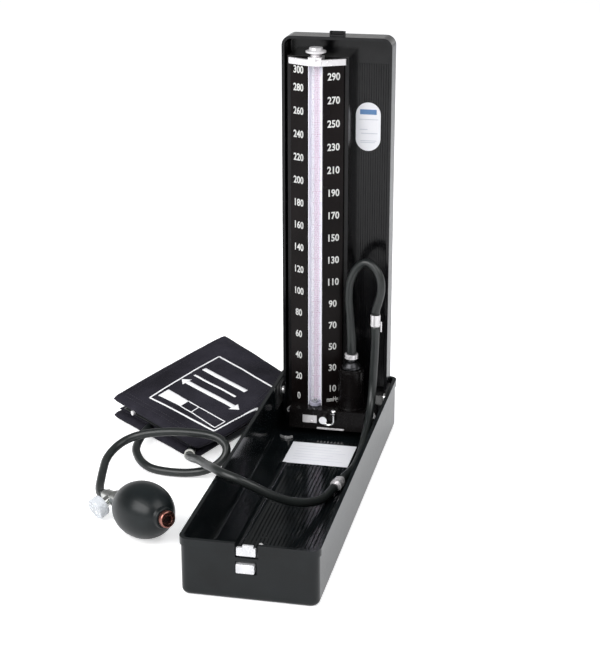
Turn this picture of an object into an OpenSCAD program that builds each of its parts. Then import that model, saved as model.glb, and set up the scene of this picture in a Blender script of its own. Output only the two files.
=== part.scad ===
// Desk mercury sphygmomanometer: tray, upright lid with the mercury column, cuff, bulb and hoses.
// Frame: origin at the centre of the tray's underside, +Z up, +Y from the latch end to the hinge end.

/* [Tray] */
// Width of the tray over its rim
tray_w = 103; // [98:1:120]
// Length of the tray over its rim
tray_l = 345; // [340:1:360]
// Height of the tray
tray_h = 45; // [44:1:50]
// Thickness of the tray's walls
tray_wall = 2; // [1.6:0.1:2.4]
// Thickness of the tray's floor
floor_t = 3; // [2.6:0.1:3.2]
// Height of the thicker rim band
rim_h = 6; // [4:0.5:8]
// How far the rim band stands out of the wall
rim_proud = 1; // [0.6:0.1:1.6]
// Radius of the tray's upright corners
tray_corner_r = 7; // [6.5:0.5:10]
// Radius of the tray's bottom edge
tray_edge_r = 4; // [3:0.5:4.5]
// Pitch of the floor ribs
floor_rib_pitch = 3; // [2.6:0.2:4]
// Diameter of the rubber pads under the tray
pad_d = 12; // [8:1:16]

/* [Lid] */
// Gap between the lid's side and the tray's wall, which holds the hinge's plates
lid_side_gap = 2.5; // [2.4:0.1:4.5]
// Depth of the lid, from its open side to its back
lid_depth = 23.3; // [22.5:0.1:23.5]
// Thickness of the lid's walls
lid_wall = 2.4; // [2:0.1:2.6]
// Radius of the lid's corners seen from the front
lid_corner_r = 8; // [6:0.5:9]
// Radius of the lid's back edge
lid_edge_r = 3.5; // [2.5:0.5:4]
// Gap between the closed lid and the tray's end walls
lid_end_gap = 1; // [0.8:0.1:1.4]
// Height of the tray's rim above the closed lid's edge
lid_nest = 4; // [3.5:0.1:4.5]
// Pitch of the ribs inside the lid
lid_rib_pitch = 2; // [1.8:0.1:4]

/* [Hinge] */
// Height of the hinge pins above the table
pivot_z = 36.7; // [36:0.1:37.4]
// Radius of the lid's rounded tail about the hinge pins
tail_r = 27.5; // [27:0.1:27.7]
// Diameter of the hinge pins
pin_d = 4; // [3:0.2:5]
// Running clearance of the pins in the lid's arms
pin_clear = 0.04; // [0.02:0.01:0.08]

/* [Mercury column] */
// Distance of the column's axis from the lid's left side
column_in = 30.5; // [28:0.5:30.5]
// Length of one millimetre of mercury on the scale
mmhg = 0.975; // [0.96:0.005:1]
// Height of the scale's zero
zero_z = 32.5; // [31.5:0.5:33.5]
// Outer diameter of the glass tube
glass_d = 7.2; // [6.4:0.2:7.4]
// Bore of the glass tube
glass_bore = 4; // [3:0.2:4.6]
// Width of one slanted scale plate
scale_plate_w = 17.8; // [16:0.2:18]
// Diameter of the vent cap
cap_d = 16.8; // [14:0.2:18]
// Diameter of the mercury reservoir
reservoir_d = 22; // [18:0.5:22]
// Distance of the reservoir's axis from the lid's right side
reservoir_in = 29.5; // [28:0.5:29.5]

/* [Latch] */
// Width of the latch's silver pieces
latch_w = 14; // [11:0.5:15]
// Place of the latch across the tray
latch_x = -1.5; // [-3:0.5:1]
// Diameter of the latch pin
latch_pin_d = 1.8; // [1.4:0.1:2]

/* [Bulb and hoses] */
// Outer diameter of the hoses
hose_d = 7; // [6:0.5:8.4]
// Largest diameter of the bulb
bulb_d = 44; // [42:1:50]
// Length of the bulb's round body
bulb_l = 58; // [54:1:66]
// Diameter of the valve's thumb wheel
wheel_d = 17; // [13:0.5:18]
// Travel of the valve needle in one turn of the wheel
needle_pitch = 0.8; // [0.6:0.1:1]

/* [Cuff] */
// Thickness of one layer of the cuff
cuff_layer = 7.5; // [6:0.5:8.5]
// Height of the folded cuff at its front
cuff_front_h = 18.5; // [17:0.5:21]
// Height of the folded cuff at its back fold
cuff_back_h = 40; // [36:1:42]
// How much higher the cuff's far side lies than the side by the tray
cuff_far_rise = 5; // [0:0.5:7]

/* [Hidden] */
$fn = 48;
// overlap that joins two solids of one piece, and cuts clear through a face
e = 0.01;
// small gap between a piece and its seat
fit = 0.1;

// tray
body_w = tray_w - 2 * rim_proud;
body_l = tray_l - 2 * rim_proud;
inner_w = body_w - 2 * tray_wall;
inner_l = body_l - 2 * tray_wall;
front_in_y = -inner_l / 2;
rib_h = 1;
rib_w = 1.2;
rib_y0 = front_in_y + 14;
ridge_r = 6;
ridge_rise = 2;
ridge_x = 22.5 - inner_w / 2;
rib_x0 = ridge_x + ridge_r;
rib_x1 = inner_w / 2 - 3;
well_depth = 1;
pad_t = 1.2;
card_w = 55.5;
card_l = 43.5;
card_t = 0.4;

// hinge: the closed lid fills the tray between its end walls
pivot_y = inner_l / 2 - 0.7 - tail_r;
lid_back_y = pivot_y + tail_r;
lid_rim_y = lid_back_y - lid_depth;
lid_z0 = pivot_z - tail_r;
lid_z1 = pivot_z + pivot_y - front_in_y - lid_end_gap;
lid_back_in_y = lid_back_y - 2.3;
lid_w = inner_w - 2 * lid_side_gap;
lid_rib_x0 = 59 - lid_w / 2;
lid_rib_z0 = lid_z0 + 35.8;
lid_rib_z1 = lid_z1 - 24.5;
lid_rib_rise = 1.2;
tail_step_w = 2.2;
tail_step_d = 1;
arm_t = 1.2;
arm_r = 6.5;
arm_l = 19;
arm_x0 = lid_w / 2;
bracket_t = 1;
bracket_l = 26;
bracket_h = 21;
bracket_below = 14;
bracket_x0 = inner_w / 2 - bracket_t;
pin_x1 = inner_w / 2 + tray_wall - 0.5;

// column: its scale goes up in tens as far as the lid has room
scale_top_gap = 20;
scale_max = 10 * floor((lid_z1 - scale_top_gap - zero_z) / mmhg / 10 + 0.01);
column_x = column_in - lid_w / 2;
reservoir_x = lid_w / 2 - reservoir_in;
wing_in = 6.8;
wing_y0 = lid_rim_y - 11.5;
wing_a = 28.5;
wing_t = 1.2;
column_z0 = zero_z - 5.5;
column_z1 = zero_z + scale_max * mmhg - 0.5;
back_x0 = 5 - lid_w / 2;
back_x1 = column_x + 26;
strip_w = 11.8;
strip_t = 0.5;
strip_back_y = wing_y0 + 8.4;
tube_y = wing_y0 + glass_d / 2;
bar_h = 5;
block_w = 11;
block_z1 = column_z1 + 7;
tube_z0 = column_z0 - 5;

// base block
block_x0 = column_x - 20.5;
block_x1 = reservoir_x + 13.5;
block_y0 = lid_rim_y - 21.5;
block_y1 = lid_rim_y + 6.5;
base_z0 = lid_z0;
base_z1 = column_z0;
cock_x = column_x + 10.5;
cock_z = base_z0 + 10.8;
cock_r = 3;
cock_end_y = block_y0 + 18;
port_r = 1.4;
reservoir_y = block_y0 + 12;
reservoir_z1 = base_z1 + 37;
screw_xs = [block_x0 - 2.8, block_x1 + 5];
screw_z = base_z0 + 9.8;
screw_r = 1.5;
screw_head_t = 2;
lug_w = 6.4;
lug_t = 6;
lug_y0 = lid_rim_y - 4;

// tray floor in front of the base block
well_y0 = block_y0 - 9;
rib_y1 = well_y0 - 3;
card_y = well_y0 - 33;
ridge_y1 = card_y - card_l / 2 - 1;

// latch
latch_py = front_in_y + 2.1;
latch_pz = 33;
latch_x0 = latch_x - latch_w / 2;
latch_x1 = latch_x + latch_w / 2;
notch_x0 = latch_x0 - 0.8;
notch_x1 = latch_x + 9.1;
notch_z = 34;
window_z0 = 21.4;
window_z1 = 30.8;
tongue_x0 = latch_x - 4.7;
tongue_x1 = latch_x + 8.3;
tongue_y0 = lid_rim_y + 1.2;
tongue_y1 = lid_rim_y + 4.5;
tongue_z1 = lid_z1 + 4.5;
spring_r = 2.2;
spring_y0 = latch_py - 0.4;
spring_y1 = latch_py + 7;
spring_z = 26.5;
spring_turns = 5;

// bulb: a turned shape whose axis points at the end valve
bulb_at = [-103, -87.6, 22];
bulb_az = -40;
bulb_el = 8;
bulb_wall = 3;
bulb_bore = 5.5;
bulb_neck_r = 8;
neck_z = bulb_l / 2 + 2;
knob_at = 46;
wheel_out = 11;
wheel_t = 8.5;
valve_roll = 20;

// routes of the hoses, points on their centrelines
hose_r = hose_d / 2;
manometer_route = [[16.5, 136, 77.1], [16.4, 136.1, 90], [14.8, 137.5, 110], [13.5, 138, 127],
    [14.6, 138, 141], [19.5, 137.5, 153], [27.5, 136.3, 159.5], [35.5, 134.5, 156.5],
    [41, 132.2, 148], [42.2, 130.8, 137], [40.2, 130.1, 127], [38.2, 130, 120.5],
    [38, 130, 116.3]];
lower_route = [[38, 130, 106], [38, 130, 93], [37.6, 129.8, 78], [37, 129.2, 63], [36.6, 127.5, 50],
    [36.6, 122, 39], [36.8, 113, 31], [37, 101, 25], [36.8, 88, 18.5], [36.4, 75, 12.5],
    [35.6, 62, 9.2], [34, 48, 8.1], [31.5, 35, 8.9], [29.5, 25, 9]];
cuff_route = [[26.3, 9, 9], [24.6, 0, 9], [22, -17, 10.6], [17.5, -32, 14.5], [11, -46, 20],
    [2, -57, 26], [-9, -66, 34], [-21, -71.5, 42.5], [-34, -73.5, 48.5], [-45, -70, 50.2],
    [-53, -62, 49.5], [-61, -49, 45.5], [-69, -33, 39.5], [-78, -14, 33], [-88, 6, 25],
    [-97, 25, 17], [-103, 40, 11.5], [-105.5, 50, 9.5], [-106, 58, 9]];
bulb_route = [[-147, -50.7, 13.9], [-151.5, -46.9, 13.1], [-155.5, -37, 13.6], [-158, -26, 15],
    [-160.5, -14, 16.5], [-163.5, 4, 18.5], [-162, 20, 21], [-156, 30, 24.5], [-146.5, 35, 28],
    [-134, 36.5, 31], [-117, 38, 33], [-98, 39.5, 33], [-83, 40, 31.5], [-74, 37.5, 29], [-69, 33.5, 25],
    [-69, 29, 19.5], [-74.5, 26, 13], [-83, 23.5, 8], [-96, 22, 4.8], [-113, 21.5, 3.9],
    [-130, 24, 4.2], [-141, 31, 5.5], [-148.5, 41, 7], [-154, 54, 8.5], [-156.5, 78, 9.2],
    [-156, 98, 9]];

// cuff: a folded band between a front and a back line on the table
cuff_front = [[-103, 53], [-199, 131]];
cuff_back = [[-56, 187], [-120, 258]];
cuff_crown = 1.5;
cuff_lean = 21;
cuff_side_gap = 2;
cuff_steps = 8;

// ---------- helpers ----------

// rounded rectangle about the origin
module round_rect(w, l, r) {
    square([w - 2 * r, l], center = true);
    square([w, l - 2 * r], center = true);
    for (sx = [-1, 1], sy = [-1, 1])
        translate([sx * (w / 2 - r), sy * (l / 2 - r)]) circle(r);
}

// side view of a box whose two bottom corners are rounded
module bottom_rounded(w, h, r) {
    translate([-w / 2, r]) square([w, h - r]);
    translate([r - w / 2, 0]) square([w - 2 * r, r + e]);
    for (s = [-1, 1]) translate([s * (w / 2 - r), r]) circle(r);
}

// box with round upright corners (rc) and a round bottom edge (re)
module soft_box(w, l, h, rc, re) {
    for (sx = [-1, 1], sy = [-1, 1])
        translate([sx * (w / 2 - rc), sy * (l / 2 - rc), 0]) rotate_extrude() {
            translate([0, re]) square([rc, h - re]);
            square([rc - re, re + e]);
            intersection() {
                translate([rc - re, re]) circle(re);
                square([rc, 2 * re]);
            }
        }
    rotate([90, 0, 0]) translate([0, 0, rc - l / 2]) linear_extrude(l - 2 * rc) bottom_rounded(w, h, re);
    rotate([90, 0, 90]) translate([0, 0, rc - w / 2]) linear_extrude(w - 2 * rc) bottom_rounded(l, h, re);
}

// cylinder along X from x0 to x1
module x_rod(x0, x1, r) {
    translate([x0, 0, 0]) rotate([0, 90, 0]) cylinder(r = r, h = x1 - x0);
}

// cylinder along Y from y0 to y1
module y_rod(y0, y1, r) {
    translate([0, y0, 0]) rotate([-90, 0, 0]) cylinder(r = r, h = y1 - y0);
}

// copies on both sides of the lid and tray
module both_sides() {
    children();
    mirror([1, 0, 0]) children();
}

module at_pivot() {
    translate([0, pivot_y, pivot_z]) children();
}

// what lies outside radius r about the hinge pins, below and behind them
module tail_cut(r) {
    difference() {
        translate([-tray_w / 2, pivot_y, -e]) cube([tray_w, tail_r + 5, pivot_z + e]);
        at_pivot() x_rod(-tray_w, tray_w, r);
    }
}

function unit(v) = v / norm(v);
function spline(p, i, t) =
    let (a = p[max(i - 1, 0)], b = p[i], c = p[i + 1], d = p[min(i + 2, len(p) - 1)])
    0.5 * (2 * b + (c - a) * t + (2 * a - 5 * b + 4 * c - d) * t * t + (3 * b - a - 3 * c + d) * t * t * t);
function smooth(p, n) = [for (i = [0:len(p) - 2], k = [0:n - 1]) spline(p, i, k / n), p[len(p) - 1]];
function way(p, i) = unit(p[min(i + 1, len(p) - 1)] - p[max(i - 1, 0)]);
function hoop(c, dir, up, r, n) =
    let (u = unit(cross(dir, up)), v = cross(u, dir))
    [for (k = [0:n - 1]) c + r * (cos(360 * k / n) * u + sin(360 * k / n) * v)];

// skin over a list of rings with n points each, closed at both ends by strips across the ring
module skin(rings, n) {
    m = len(rings);
    points = [for (ring = rings) each ring];
    sides = [for (i = [0:m - 2], k = [0:n - 1])
        let (a = i * n + k, b = i * n + (k + 1) % n)
        each [[a, b, b + n], [a, b + n, a + n]]];
    last = (m - 1) * n;
    caps = [for (k = [0:n / 2 - 2])
        let (p = n - 1 - k, q = n - 2 - k)
        each [[k, q, k + 1], [k, p, q], [last + k, last + k + 1, last + q], [last + k, last + q, last + p]]];
    polyhedron(points, concat(sides, caps));
}

// round tube along a route
module tube(route, r, up, n) {
    skin([for (i = [0:len(route) - 1]) hoop(route[i], way(route, i), up, r, n)], n);
}

// ---------- tray ----------

module base_tray() {
    color("#26282c") {
        difference() {
            union() {
                soft_box(body_w, body_l, tray_h, tray_corner_r, tray_edge_r);
                translate([0, 0, tray_h - rim_h]) linear_extrude(rim_h)
                    round_rect(tray_w, tray_l, tray_corner_r + rim_proud);
            }
            translate([0, 0, floor_t])
                soft_box(inner_w, inner_l, tray_h, tray_corner_r - tray_wall, tray_edge_r - 1);
            hinge_well();
            latch_openings();
            pad_places() translate([0, 0, -e]) cylinder(d = pad_d + 2 * fit, h = pad_t + e);
            both_sides() at_pivot() x_rod(inner_w / 2 - 1, pin_x1 + fit, pin_d / 2 + fit / 2);
        }
        for (x = [rib_x0:floor_rib_pitch:rib_x1])
            translate([x, rib_y0, floor_t - e]) cube([rib_w, rib_y1 - rib_y0, rib_h + e]);
        intersection() {
            translate([ridge_x, 0, floor_t + ridge_rise - ridge_r]) y_rod(rib_y0, ridge_y1, ridge_r);
            translate([ridge_x - ridge_r, rib_y0, floor_t - e])
                cube([2 * ridge_r, ridge_y1 - rib_y0, ridge_rise + 1]);
        }
    }
}

// shallow floor recess that the base block swings through
module hinge_well() {
    translate([-lid_w / 2 - 1, well_y0, floor_t - well_depth])
        cube([lid_w + 2, inner_l / 2 - 8 - well_y0, well_depth + 1]);
}

// notch for the tongue and hook, and the window for the button
module latch_openings() {
    translate([notch_x0, front_in_y - 5, notch_z]) cube([notch_x1 - notch_x0, 6, tray_h]);
    translate([latch_x0 - 0.8, front_in_y - 5, window_z0])
        cube([latch_w + 1.6, 6, window_z1 - window_z0]);
}

module pad_places() {
    for (sx = [-1, 1], sy = [-1, 1])
        translate([sx * (body_w / 2 - 14), sy * (body_l / 2 - 18), 0]) children();
}

module base_pads() {
    color("#151515") pad_places() cylinder(d = pad_d, h = pad_t);
}

module floor_card() {
    color("white") translate([-card_w / 2, card_y - card_l / 2, floor_t + rib_h])
        cube([card_w, card_l, card_t]);
}

// bent sheet clip on the floor in front of the base block
module floor_clip() {
    color("silver") translate([block_x0 - 0.5, block_y0 - 5.5, floor_t]) intersection() {
        difference() {
            cylinder(r = 7, h = 2.2);
            translate([0, 0, -e]) cylinder(r = 6.2, h = 3);
        }
        translate([-8, -8, 0]) cube([16, 4, 3]);
    }
}

// ---------- hinge ----------

module hinge_brackets() {
    color("silver") both_sides() difference() {
        translate([bracket_x0, pivot_y - bracket_l / 2, pivot_z - bracket_below])
            cube([bracket_t, bracket_l, bracket_h]);
        at_pivot() x_rod(bracket_x0 - 1, bracket_x0 + bracket_t + 1, pin_d / 2 + fit / 2);
    }
}

module hinge_pins() {
    color("silver") both_sides() at_pivot() {
        x_rod(arm_x0 - 1.8, arm_x0 - 0.4, pin_d / 2 + 1.4);
        x_rod(arm_x0 - 0.4 - e, pin_x1, pin_d / 2);
    }
}

module hinge_arms() {
    color("silver") both_sides() difference() {
        union() {
            at_pivot() x_rod(arm_x0, arm_x0 + arm_t, arm_r);
            translate([arm_x0, pivot_y, pivot_z - arm_r]) cube([arm_t, arm_l, 2 * arm_r]);
        }
        at_pivot() x_rod(arm_x0 - 1, arm_x0 + arm_t + 1, pin_d / 2 + pin_clear);
    }
}

// ---------- latch ----------

module lid_guide_post() {
    color("silver") translate([latch_x + 9, front_in_y + 6.3, floor_t]) {
        cylinder(d = 3.4, h = 38);
        translate([0, 0, 38]) sphere(d = 3.4);
    }
}

module latch_bracket() {
    color("#303030") for (x = [latch_x0 - 2, latch_x1 + 0.2]) difference() {
        translate([x, front_in_y, latch_pz - 5]) cube([1.8, 4.5, 9]);
        translate([0, latch_py, latch_pz]) x_rod(x - 1, x + 3, latch_pin_d / 2 + 0.02);
    }
}

module latch_pin() {
    color("silver") translate([0, latch_py, latch_pz])
        x_rod(latch_x0 - 2, latch_x1 + 2, latch_pin_d / 2);
}

module latch_rocker() {
    color("#404448") difference() {
        union() {
            translate([0, latch_py, latch_pz]) x_rod(latch_x0, latch_x1, 1.9);
            translate([latch_x0 + 1, latch_py - 1.8, 24]) cube([latch_w - 2, 1.3, 16.3]);
        }
        translate([0, latch_py, latch_pz]) x_rod(latch_x0 - 1, latch_x1 + 1, latch_pin_d / 2 + 0.05);
    }
}

// upper silver piece with the barb that holds the tongue
module latch_hook_plate() {
    color("silver") {
        translate([latch_x0, front_in_y - 2.1, 35.5]) cube([latch_w, 2.4, 6.3]);
        translate([latch_x - 2.5, front_in_y - 2.1, 41.8 - e]) cube([8, 1.1, 2.2]);
        translate([latch_x - 2.5, front_in_y - 2.1, 43.2]) cube([8, 1.9, 0.8]);
    }
}

module latch_button() {
    color("silver") translate([latch_x0, front_in_y - 4.7, 23]) cube([latch_w - 0.5, 5, 7]);
}

module latch_spring_post() {
    color("#26282c") translate([latch_x - 3.5, spring_y1, floor_t]) cube([7, 3, spring_z + spring_r]);
}

// compression spring behind the button
module latch_spring() {
    per_turn = 8;
    steps = spring_turns * per_turn;
    wire_r = 0.35;
    run = [for (i = [0:steps]) [latch_x + (spring_r - wire_r) * cos(360 * i / per_turn),
        spring_y0 + wire_r + (spring_y1 - spring_y0 - 2 * wire_r) * i / steps,
        spring_z + (spring_r - wire_r) * sin(360 * i / per_turn)]];
    echo("latch spring: gap between turns", (spring_y1 - spring_y0 - 2 * wire_r) / spring_turns - 2 * wire_r);
    color("silver") tube(run, wire_r, [0, 1, 0], 6);
}

// ---------- lid ----------

// lid-shaped solid: w wide, from depth y0 to y1, inset from the lid's ends
module lid_block(w, y_back, depth, inset, rc, re, r_tail) {
    difference() {
        translate([0, y_back, (lid_z0 + lid_z1) / 2]) rotate([90, 0, 0])
            soft_box(w, lid_z1 - lid_z0 - 2 * inset, depth, rc, re);
        tail_cut(r_tail);
    }
}

module lid_shell() {
    color("#202226") {
        difference() {
            lid_block(lid_w, lid_back_y, lid_depth, 0, lid_corner_r, lid_edge_r, tail_r);
            both_sides() intersection() {
                translate([lid_w / 2 - tail_step_w, lid_rim_y - 1, 0]) cube([tail_step_w + 1, tail_r, pivot_z]);
                tail_cut(tail_r - tail_step_d);
            }
            lid_block(lid_w - 2 * lid_wall, lid_back_in_y, lid_depth, lid_wall, lid_corner_r - lid_wall,
                lid_edge_r - 1.5, tail_r - lid_wall);
        }
        for (x = [lid_rib_x0:lid_rib_pitch:lid_w / 2 - lid_wall - 2])
            translate([x, lid_back_in_y - lid_rib_rise, lid_rib_z0])
                cube([0.8, lid_rib_rise + e, lid_rib_z1 - lid_rib_z0]);
    }
}

// tongue on the lid's end, notched for the latch's barb
module lid_tongue() {
    color("#202226") difference() {
        translate([tongue_x0, tongue_y0, lid_z1]) cube([tongue_x1 - tongue_x0, tongue_y1 - tongue_y0, 4.5]);
        translate([latch_x - 3.3, tongue_y0 - 1, lid_z1 + 1.7]) cube([9.6, 3.2, 5]);
        translate([latch_x - 3.3, tongue_y0 + 0.9, lid_z1 + 1]) cube([9.6, 1.3, 5]);
    }
}

// oval label on the ribs
module lid_label() {
    color("white") translate([lid_w / 2 - 22.4, lid_back_in_y - lid_rib_rise, lid_z1 - 77.1])
        rotate([90, 0, 0]) linear_extrude(0.5) {
        square([21, 20], center = true);
        for (s = [-1, 1]) translate([0, s * 10]) circle(10.5);
    }
}

module manometer_back() {
    color("#1c1d20") difference() {
        translate([back_x0, lid_rim_y, column_z0])
            cube([back_x1 - back_x0, lid_back_in_y - lid_rim_y, column_z1 + 6 - column_z0]);
        translate([back_x0 + 2, lid_rim_y + 2, column_z0 - 1])
            cube([back_x1 - back_x0 - 4, lid_depth, column_z1 + 6 - column_z0 - 1]);
        translate([reservoir_x, reservoir_y, column_z0 - 1]) cylinder(d = reservoir_d + 5, h = 4);
        tail_cut(tail_r - lid_wall - fit);
    }
}

// point on a slanted scale plate: s along it from its inner edge, t into its thickness
function wing(s, t) = [wing_in + s * cos(wing_a) - t * sin(wing_a), wing_y0 + s * sin(wing_a) + t * cos(wing_a)];

// outline drawn on the right of the column's axis, mirrored to the left
module at_column() {
    translate([column_x, 0, column_z0]) linear_extrude(column_z1 - column_z0) children();
}

module scale_plate() {
    polygon([wing(0, 0), wing(scale_plate_w, 0), wing(scale_plate_w - 0.6, wing_t), wing(0, wing_t)]);
}

module scale_left() {
    color("#101012") at_column() mirror([1, 0]) scale_plate();
}

module scale_right() {
    color("#101012") at_column() scale_plate();
}

// solid wedge behind the scale plates, with the channel for the strip
module column_core() {
    a = wing(0.7, wing_t);
    b = wing(scale_plate_w - 0.8, wing_t);
    color("#1c1d20") at_column() difference() {
        polygon([a, b, [b[0], lid_rim_y], [-b[0], lid_rim_y], [-b[0], b[1]], [-a[0], a[1]]]);
        translate([-strip_w / 2, wing_y0 - 1]) square([strip_w, strip_back_y - wing_y0 + 1]);
    }
}

// white channel with the fine graduations
module graduation_strip() {
    color("#e8e4f0") at_column() difference() {
        translate([-strip_w / 2, wing_y0 + 1.2]) square([strip_w, strip_back_y - wing_y0 - 1.2]);
        translate([strip_t - strip_w / 2, wing_y0]) square([strip_w - 2 * strip_t, strip_back_y - wing_y0 - 1]);
    }
}

module at_tube() {
    translate([column_x, tube_y, 0]) children();
}

module glass_tube() {
    color([0.85, 0.92, 1, 0.4]) at_tube() difference() {
        translate([0, 0, tube_z0 + 1]) cylinder(d = glass_d, h = column_z1 + 3 - tube_z0);
        translate([0, 0, tube_z0]) cylinder(d = glass_bore, h = column_z1 + 9 - tube_z0);
    }
}

module mercury_column() {
    color("#c8ccd0") at_tube() translate([0, 0, tube_z0 + 1]) cylinder(d = glass_bore, h = zero_z - tube_z0 - 1);
}

module tube_seals() {
    color("#151515") at_tube() {
        difference() {
            translate([0, 0, tube_z0]) cylinder(d = glass_d, h = 1);
            translate([0, 0, tube_z0 - 1]) cylinder(r = port_r, h = 3);
        }
        difference() {
            translate([0, 0, column_z1 + 4]) cylinder(d = glass_d, h = 1);
            translate([0, 0, column_z1 + 3]) cylinder(r = port_r, h = 3);
        }
    }
}

module tube_ferrule() {
    color("#202024") at_tube() difference() {
        translate([0, 0, base_z1]) cylinder(r = strip_w / 2 - strip_t - fit, h = 2.6);
        translate([0, 0, base_z1 - 1]) cylinder(d = glass_d + fit, h = 5);
        translate([-10, strip_back_y - 1 - fit - tube_y, base_z1 - 1]) cube([20, 10, 5]);
    }
}

// bright bar over the scale plates, with the block that holds the tube's top
module top_bar() {
    color("#e0e2e6") translate([column_x, 0, column_z1]) difference() {
        union() {
            linear_extrude(bar_h) {
                for (m = [0, 1]) mirror([m, 0]) {
                    polygon([[0, wing_y0 - 1], wing(0, -1), wing(scale_plate_w + 0.6, -1),
                        wing(scale_plate_w + 0.6, 1.6), wing(0, 2.2), [0, wing_y0 + 3]]);
                    translate(wing(scale_plate_w + 0.6, 0.3)) circle(1.3);
                }
            }
            translate([-block_w / 2, wing_y0 - 2, 0]) cube([block_w, lid_rim_y - wing_y0 + 2, 7]);
        }
        translate([0, tube_y, -1]) cylinder(d = glass_d + fit, h = 6);
        translate([0, tube_y, 0]) cylinder(r = 3, h = 9);
        translate([0.8, wing_y0 - 3, 4]) cube([2.6, 3, 1.2]);
        translate([-lid_w / 2, lid_rim_y, -1]) cube([lid_w, 5, bar_h + 4]);
    }
}

module vent_filter() {
    color("tan") at_tube() translate([0, 0, column_z1 + 5.2]) cylinder(r = 2.9, h = 1.5);
}

module tube_cap() {
    color("#e0e2e6") translate([column_x, tube_y, block_z1]) rotate_extrude()
        polygon([[0, 0], [4, 0], [4.2, 1.4], [5, 2.2], [cap_d / 2, 3.6], [cap_d / 2, 5],
            [cap_d / 2 - 2.6, 5.8], [cap_d / 2 - 2.9, 7.6], [0, 8]]);
}

// ---------- reservoir and its block ----------

module reservoir_base() {
    color("#141416") difference() {
        union() {
            translate([block_x0, block_y0, base_z0])
                cube([block_x1 - block_x0, block_y1 - block_y0, base_z1 - base_z0]);
            translate([screw_xs[0] - lug_w / 2, lug_y0, screw_z - lug_w / 2])
                cube([screw_xs[1] - screw_xs[0] + lug_w, lug_t, base_z1 - screw_z + lug_w / 2]);
        }
        tail_cut(tail_r - lid_wall - fit);
        translate([cock_x, 0, cock_z]) y_rod(block_y0 - 1, cock_end_y, cock_r + 0.04);
        translate([0, tube_y, cock_z]) x_rod(column_x - port_r, reservoir_x + port_r, port_r);
        at_tube() translate([0, 0, cock_z]) cylinder(r = port_r, h = 9);
        at_tube() translate([0, 0, tube_z0]) cylinder(d = glass_d + fit, h = 9);
        translate([reservoir_x, tube_y, cock_z]) cylinder(r = port_r, h = 9);
        for (x = screw_xs) translate([x, 0, screw_z]) y_rod(lug_y0 - 1.5, lug_y0 + lug_t + 1.5, screw_r + fit);
    }
}

module base_screws() {
    color("silver") for (x = screw_xs) translate([x, 0, screw_z]) {
        y_rod(lug_y0 - screw_head_t, lug_y0, 2.6);
        y_rod(lug_y0 - e, lug_y0 + lug_t + 1.5, screw_r);
    }
}

module name_plate() {
    color("silver") translate([column_x - 8.5, block_y0 - 0.6, base_z0 + 5.7]) cube([12.6, 0.6, 6.9]);
}

module base_strip() {
    color("silver") translate([cock_x - 6.3, block_y0 - 1.2, base_z0 + 0.4]) cube([24, 1.2, 1.6]);
}

module reservoir_body() {
    color("#141416") translate([reservoir_x, reservoir_y, base_z1]) difference() {
        union() {
            cylinder(d = reservoir_d + 0.8, h = 2);
            cylinder(d = reservoir_d, h = reservoir_z1 - base_z1 - 2);
            translate([0, 0, reservoir_z1 - base_z1 - 2 - e]) cylinder(d = reservoir_d - 3, h = 2 + e);
        }
        translate([0, 0, 2]) cylinder(d = reservoir_d - 5, h = reservoir_z1);
        translate([0, tube_y - reservoir_y, -1]) cylinder(r = port_r, h = 9);
    }
}

module mercury_pool() {
    color("#c8ccd0") translate([reservoir_x, reservoir_y, base_z1 + 2]) cylinder(d = reservoir_d - 5, h = 9);
}

module reservoir_cap() {
    color("#9a9ea4") translate([reservoir_x, reservoir_y, reservoir_z1]) rotate_extrude()
        polygon([[2, 0], [8.1, 0], [8.1, 2.2], [5.6, 5.6], [3.6, 6.8], [3.6, 9], [2, 9]]);
}

module hose_nipple() {
    color("#e0e2e6") translate([reservoir_x, reservoir_y, reservoir_z1 + 9]) difference() {
        cylinder(r = 5.8, h = 4);
        translate([0, 0, -1]) cylinder(r = 2, h = 6);
    }
}

module cock_plug() {
    color("silver") difference() {
        translate([cock_x, 0, cock_z]) y_rod(block_y0 - 2.5, cock_end_y - 0.3, cock_r);
        translate([0, tube_y, cock_z]) x_rod(cock_x - 4, cock_x + 4, port_r);
    }
}

// curled lever: hub, half ring and ball
module cock_lever() {
    lever_y = block_y0 - 5;
    ring_r = 4.6;
    color("silver") {
        translate([cock_x, 0, cock_z]) y_rod(lever_y - 0.8, block_y0 - 2.5, 3.4);
        translate([cock_x + ring_r, lever_y + 1, cock_z]) intersection() {
            rotate([90, 0, 0]) rotate_extrude() translate([ring_r, 0]) circle(1.2);
            translate([-7, -3, -7]) cube([14, 6, 7]);
        }
        translate([cock_x + 2 * ring_r, lever_y + 1, cock_z - e]) cylinder(r = 1.2, h = 6);
        translate([cock_x + 2 * ring_r, lever_y + 1, cock_z + 7.6]) sphere(r = 2.8);
    }
}

// ---------- hoses ----------

module manometer_hose() {
    color("#35383a") tube(smooth(manometer_route, 2), hose_r, [0, 1, 0], 12);
}

module upper_connector() {
    color("#e0e2e6") translate(lower_route[0]) {
        cylinder(r = hose_r + 0.7, h = 10);
        translate([hose_r + 1.3, 0, -5]) cylinder(r = 0.8, h = 9);
    }
}

module lower_hose() {
    color("#35383a") tube(lower_route, hose_r, [1, 0, 0], 12);
}

// two-ring coupling between the two lower hoses
module lower_connector() {
    a = lower_route[len(lower_route) - 1];
    b = cuff_route[0];
    d = b - a;
    color("#e0e2e6") translate(a) rotate([0, 90, atan2(d[1], d[0])]) {
        cylinder(r = hose_r - 0.4, h = norm(d));
        for (z = [4, 8.8]) translate([0, 0, z]) cylinder(r = 4.9, h = 3.6);
    }
}

module cuff_hose() {
    color("#35383a") tube(cuff_route, hose_r, [0, 0, 1], 12);
}

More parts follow.
